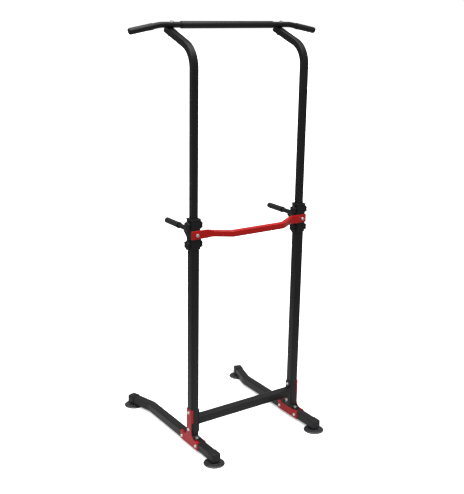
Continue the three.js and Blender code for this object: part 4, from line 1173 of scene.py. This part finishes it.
bm = bmesh.new()
start = Matrix.Translation((places[0], 0, 0)) @ TO_X
ring = square_ring(bm, BRACE_TUBE, BRACE_TUBE, BRACE_TUBE / 7, start)
rings = [ring]
for here, there in zip(places, places[1:]):
    ring = push(bm, ring, (there - here, 0, 0))
    rings.append(ring)
for x, ring in zip(places, rings):
    flat = smooth((abs(x) - PRESS_START) / (FLAT_END - PRESS_START))
    shrink = RIM_EASE * smooth((abs(x) - (brace_high.x - RIM_EASE)) / RIM_EASE)
    deep = BRACE_TUBE + flat * (BRACE_END_THICK - BRACE_TUBE) - shrink
    tall = BRACE_TUBE + flat * (BRACE_END_TALL - BRACE_TUBE) - shrink
    pinch = flat * (1 - flat) * 4
    for vert in ring_verts(ring):
        y, z = vert.co.y / BRACE_TUBE, vert.co.z / BRACE_TUBE
        on_face = abs(y) > 0.3
        hollow = pinch * PRESS_HOLLOW * max(0.0, 1 - (z / HOLLOW_TALL) ** 2) * on_face
        vert.co.y = y * deep * (1 - hollow) - bow(abs(x)) + BRACE_BACK - BRACE_END_THICK / 2
        vert.co.z = z * tall + BRACE_HEIGHT
for ring in (rings[0], rings[-1]):
    bmesh.ops.contextual_create(bm, geom=ring)
finish_piece("brace", bm, red_coat, "base", ["brace_bar"])

# %% [markdown]
# ## Upper uprights
# The sliding tubes are narrower. Each goes up out of its sleeve, past a row of adjusting holes, bends
# towards the user and ends in a sloping arm. The tube is pushed up panel by panel, so that each hole
# has a square panel of its own. The panel is inset, its inner square is divided and drawn out to a
# circle, and the middle is taken away; Solidify then gives the hole the depth of the tube's wall. A
# Boolean would cut the holes too, but it leaves slivers and open seams on a wall this thin.

# %% Punch
PANEL_RIM = 8 * MM
HOLE_CUTS = 7  # on each side of the inner square, so a hole has 32 corners


def nearest_face(bm, point):
    """The face whose middle is closest to a point."""
    return min(bm.faces, key=lambda face: (face.calc_center_median() - point).length)


def punch(bm, centre, radius):
    """Opens a round hole in the flat panel whose middle is at centre."""
    panel = nearest_face(bm, centre)
    bmesh.ops.inset_individual(bm, faces=[panel], thickness=PANEL_RIM)
    bmesh.ops.subdivide_edges(bm, edges=list(nearest_face(bm, centre).edges), cuts=HOLE_CUTS)
    panel = nearest_face(bm, centre)
    for vert in panel.verts:
        vert.co = centre + (vert.co - centre).normalized() * radius
    bmesh.ops.delete(bm, geom=[panel], context="FACES_ONLY")


print("a hole has", 4 * (HOLE_CUTS + 1), "corners")

# %% Upper uprights
ARM_RISE = radians(20)
ARM_BEND = 130 * MM
ARM_CORNER = UPRIGHT_TOP + 900 * MM
ARM_LENGTH = 292 * MM
BAR_SEAT = 260 * MM
HOLE_PITCH = 50 * MM
PANEL = SMALL_TUBE - 2 * SMALL_CORNER  # a square as wide as the tube's flat
ARM_REACH = ARM_BEND * tan((pi / 2 - ARM_RISE) / 2)

for side, word in SIDES:
    node = f"upper_upright_{word}"
    x, low = side * UPRIGHT_X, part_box(node)[0].z
    bm = bmesh.new()
    ring = square_ring(bm, SMALL_TUBE, SMALL_TUBE, SMALL_CORNER, Matrix.Translation((x, UPRIGHT_Y, low)))
    heights = [KNOB_HEIGHTS["upper"] + (k - 1) * HOLE_PITCH for k in range(5)]
    level = low
    for stop in [h + way * PANEL / 2 for h in heights for way in (-1, 1)] + [ARM_CORNER - ARM_REACH]:
        ring = push(bm, ring, (0, 0, stop - level))
        level = stop
    for height in heights:
        for way in (-1, 1):
            punch(bm, Vector((x + way * SMALL_TUBE / 2, UPRIGHT_Y, height)), BOLT_RADIUS + GAP)
    centre = (x, UPRIGHT_Y + ARM_BEND, ARM_CORNER - ARM_REACH)
    ring = swing(bm, ring, centre, (1, 0, 0), -(pi / 2 - ARM_RISE), 24)
    push(bm, ring, Vector((0, cos(ARM_RISE), sin(ARM_RISE))) * (ARM_LENGTH - ARM_REACH))
    finish_piece(f"upper_tube_{word}", bm, black_coat, "upper_frame", [node], wall=SMALL_WALL)

# %% [markdown]
# ## Arm plugs
# A moulded plug closes each arm. Only its head shows: a square cap as wide as the tube with a soft
# crown, on a stem with two gripping fins inside the tube.

# %% Arm plugs
PLUG_HEAD = 4 * MM
PLUG_DEPTH = 20 * MM
ARM_TURN = Matrix.Rotation(ARM_RISE, 4, "X") @ TO_Y

for side, word in SIDES:
    tip = Vector((0, cos(ARM_RISE), sin(ARM_RISE))) * ARM_LENGTH
    place = Matrix.Translation(Vector((side * UPRIGHT_X, UPRIGHT_Y, ARM_CORNER)) + tip) @ ARM_TURN
    stem = SMALL_TUBE - 2 * SMALL_WALL - 2 * GAP
    bm = bmesh.new()
    stack(
        bm,
        [
            (stem - 3 * MM, stem - 3 * MM, 2 * MM, -PLUG_DEPTH),
            (stem - 1 * MM, stem - 1 * MM, 2 * MM, -PLUG_DEPTH + 2 * MM),
            (stem - 1 * MM, stem - 1 * MM, 2 * MM, GAP),
            (SMALL_TUBE - 0.6 * MM, SMALL_TUBE - 0.6 * MM, SMALL_CORNER, GAP),
            (SMALL_TUBE, SMALL_TUBE, SMALL_CORNER, GAP + 0.5 * MM),
            (SMALL_TUBE, SMALL_TUBE, SMALL_CORNER, GAP + 2.2 * MM),
            (SMALL_TUBE - 0.9 * MM, SMALL_TUBE - 0.9 * MM, SMALL_CORNER, GAP + 3.1 * MM),
            (SMALL_TUBE - 3.4 * MM, SMALL_TUBE - 3.4 * MM, SMALL_CORNER, GAP + 3.8 * MM),
            (SMALL_TUBE - 12 * MM, SMALL_TUBE - 12 * MM, SMALL_CORNER, GAP + PLUG_HEAD),
        ],
        place,
        caps=(True, True),
    )
    finish_piece(f"plug_{word}", bm, black_plastic, "upper_frame", [f"arm_plug_{word}"])

# %% [markdown]
# ## Pull-up bar
# The bar is a round tube, straight across the two arms and bent down gently at both ends. A circle is
# pushed and swung along it, from one drooping end to the other.

# %% Pull-up bar
BAR_RADIUS = 16 * MM
BAR_WALL = 2.5 * MM
BAR_DROOP = radians(10.5)
BAR_BEND = 200 * MM
BAR_STRAIGHT = UPRIGHT_X + 68 * MM
BAR_END = UPRIGHT_X + 251 * MM
BAR_OFFSET = SMALL_TUBE / 2 + GAP + BAR_RADIUS
BAR_Y = UPRIGHT_Y + BAR_SEAT * cos(ARM_RISE) - BAR_OFFSET * sin(ARM_RISE)
BAR_Z = ARM_CORNER + BAR_SEAT * sin(ARM_RISE) + BAR_OFFSET * cos(ARM_RISE)
BAR_REACH = BAR_BEND * tan(BAR_DROOP / 2)
LEG = (BAR_END - BAR_STRAIGHT) / cos(BAR_DROOP)

bm = bmesh.new()
tip = Vector((-BAR_END, BAR_Y, BAR_Z - LEG * sin(BAR_DROOP)))
place = Matrix.Translation(tip) @ Matrix.Rotation(pi / 2 - BAR_DROOP, 4, "Y")
made = bmesh.ops.create_circle(bm, segments=40, radius=BAR_RADIUS, cap_ends=False, matrix=place)
ring = list({line for vert in made["verts"] for line in vert.link_edges})
ring = push(bm, ring, Vector((cos(BAR_DROOP), 0, sin(BAR_DROOP))) * (LEG - BAR_REACH))
bend = BAR_STRAIGHT - BAR_REACH
ring = swing(bm, ring, (-bend, BAR_Y, BAR_Z - BAR_BEND), (0, 1, 0), BAR_DROOP, 8)
ring = push(bm, ring, (2 * bend, 0, 0))
ring = swing(bm, ring, (bend, BAR_Y, BAR_Z - BAR_BEND), (0, 1, 0), BAR_DROOP, 8)
push(bm, ring, Vector((cos(BAR_DROOP), 0, -sin(BAR_DROOP))) * (LEG - BAR_REACH))
finish_piece("top_bar", bm, black_coat, "upper_frame", ["pullup_bar"], wall=BAR_WALL)

# %% [markdown]
# ## Grips of the pull-up bar
# A long rubber sleeve covers the middle of the bar and a closed grip covers each drooping end. The
# sleeve is open at both ends with softened rims; the end grips are the dip grips' smaller cousins.

# %% Centre grip and end grips
low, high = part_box("centre_grip")
outer, bore = (high.z - low.z) / 2, BAR_RADIUS + GAP
length = high.x - low.x
outline = [(bore, 0), (outer, 0), (outer, length), (bore, length), (bore, 0)]
bm = bmesh.new()
lathe(bm, outline, Matrix.Translation((low.x, BAR_Y, BAR_Z)) @ TO_X, {1: 1.5 * MM, 2: 1.5 * MM}, arc=4)
finish_piece("middle_grip", bm, grip_rubber, "upper_frame", ["centre_grip"])

END_GRIP = 144 * MM
for side, word in SIDES:
    outwards = Vector((side * cos(BAR_DROOP), 0, -sin(BAR_DROOP)))
    tip = Vector((side * BAR_END, BAR_Y, BAR_Z - LEG * sin(BAR_DROOP)))
    mouth = tip + outwards * (GAP + GRIP_WALL - END_GRIP)
    turn = Matrix.Rotation(side * (pi / 2 + BAR_DROOP), 4, "Y")
    bm = bmesh.new()
    closed_grip(bm, Matrix.Translation(mouth) @ turn, bore, BAR_RADIUS + 2.2 * MM, END_GRIP, 0, GRIP_WALL)
    finish_piece(f"bar_grip_{word}", bm, grip_rubber, "upper_frame", [f"end_grip_{word}"])

# %% [markdown]
# ## Bar bolts
# One long bolt on each side goes down through the bar and the sloping arm, square to the arm.

# %% Bar bolts
for side, word in SIDES:
    up = Vector((0, -sin(ARM_RISE), cos(ARM_RISE)))
    seat_up = BAR_OFFSET + BAR_RADIUS + GAP
    along = Vector((0, cos(ARM_RISE), sin(ARM_RISE))) * BAR_SEAT
    at = Vector((side * UPRIGHT_X, UPRIGHT_Y, ARM_CORNER)) + along + up * seat_up
    place = Matrix.Translation(at) @ Matrix.Rotation(ARM_RISE, 4, "X")
    hex_bolt(f"hex_bar_bolt_{word}", f"bar_bolt_{word}", "upper_frame", place, seat_up + SMALL_TUBE / 2 + GAP)

# %% [markdown]
# ## Hidden plastic guides
# The liner and the shoe that guide the sliding tube are inside the uprights. Their CAD shapes are
# right as they are, so the nodes stay and only take the moulded plastic finish.

# %% Hidden plastic guides
for word in ("left", "right"):
    for node in (f"guide_liner_{word}", f"slide_bush_{word}"):
        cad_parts[node].material_slots[0].material = black_plastic
        print(node, "keeps its CAD shape")
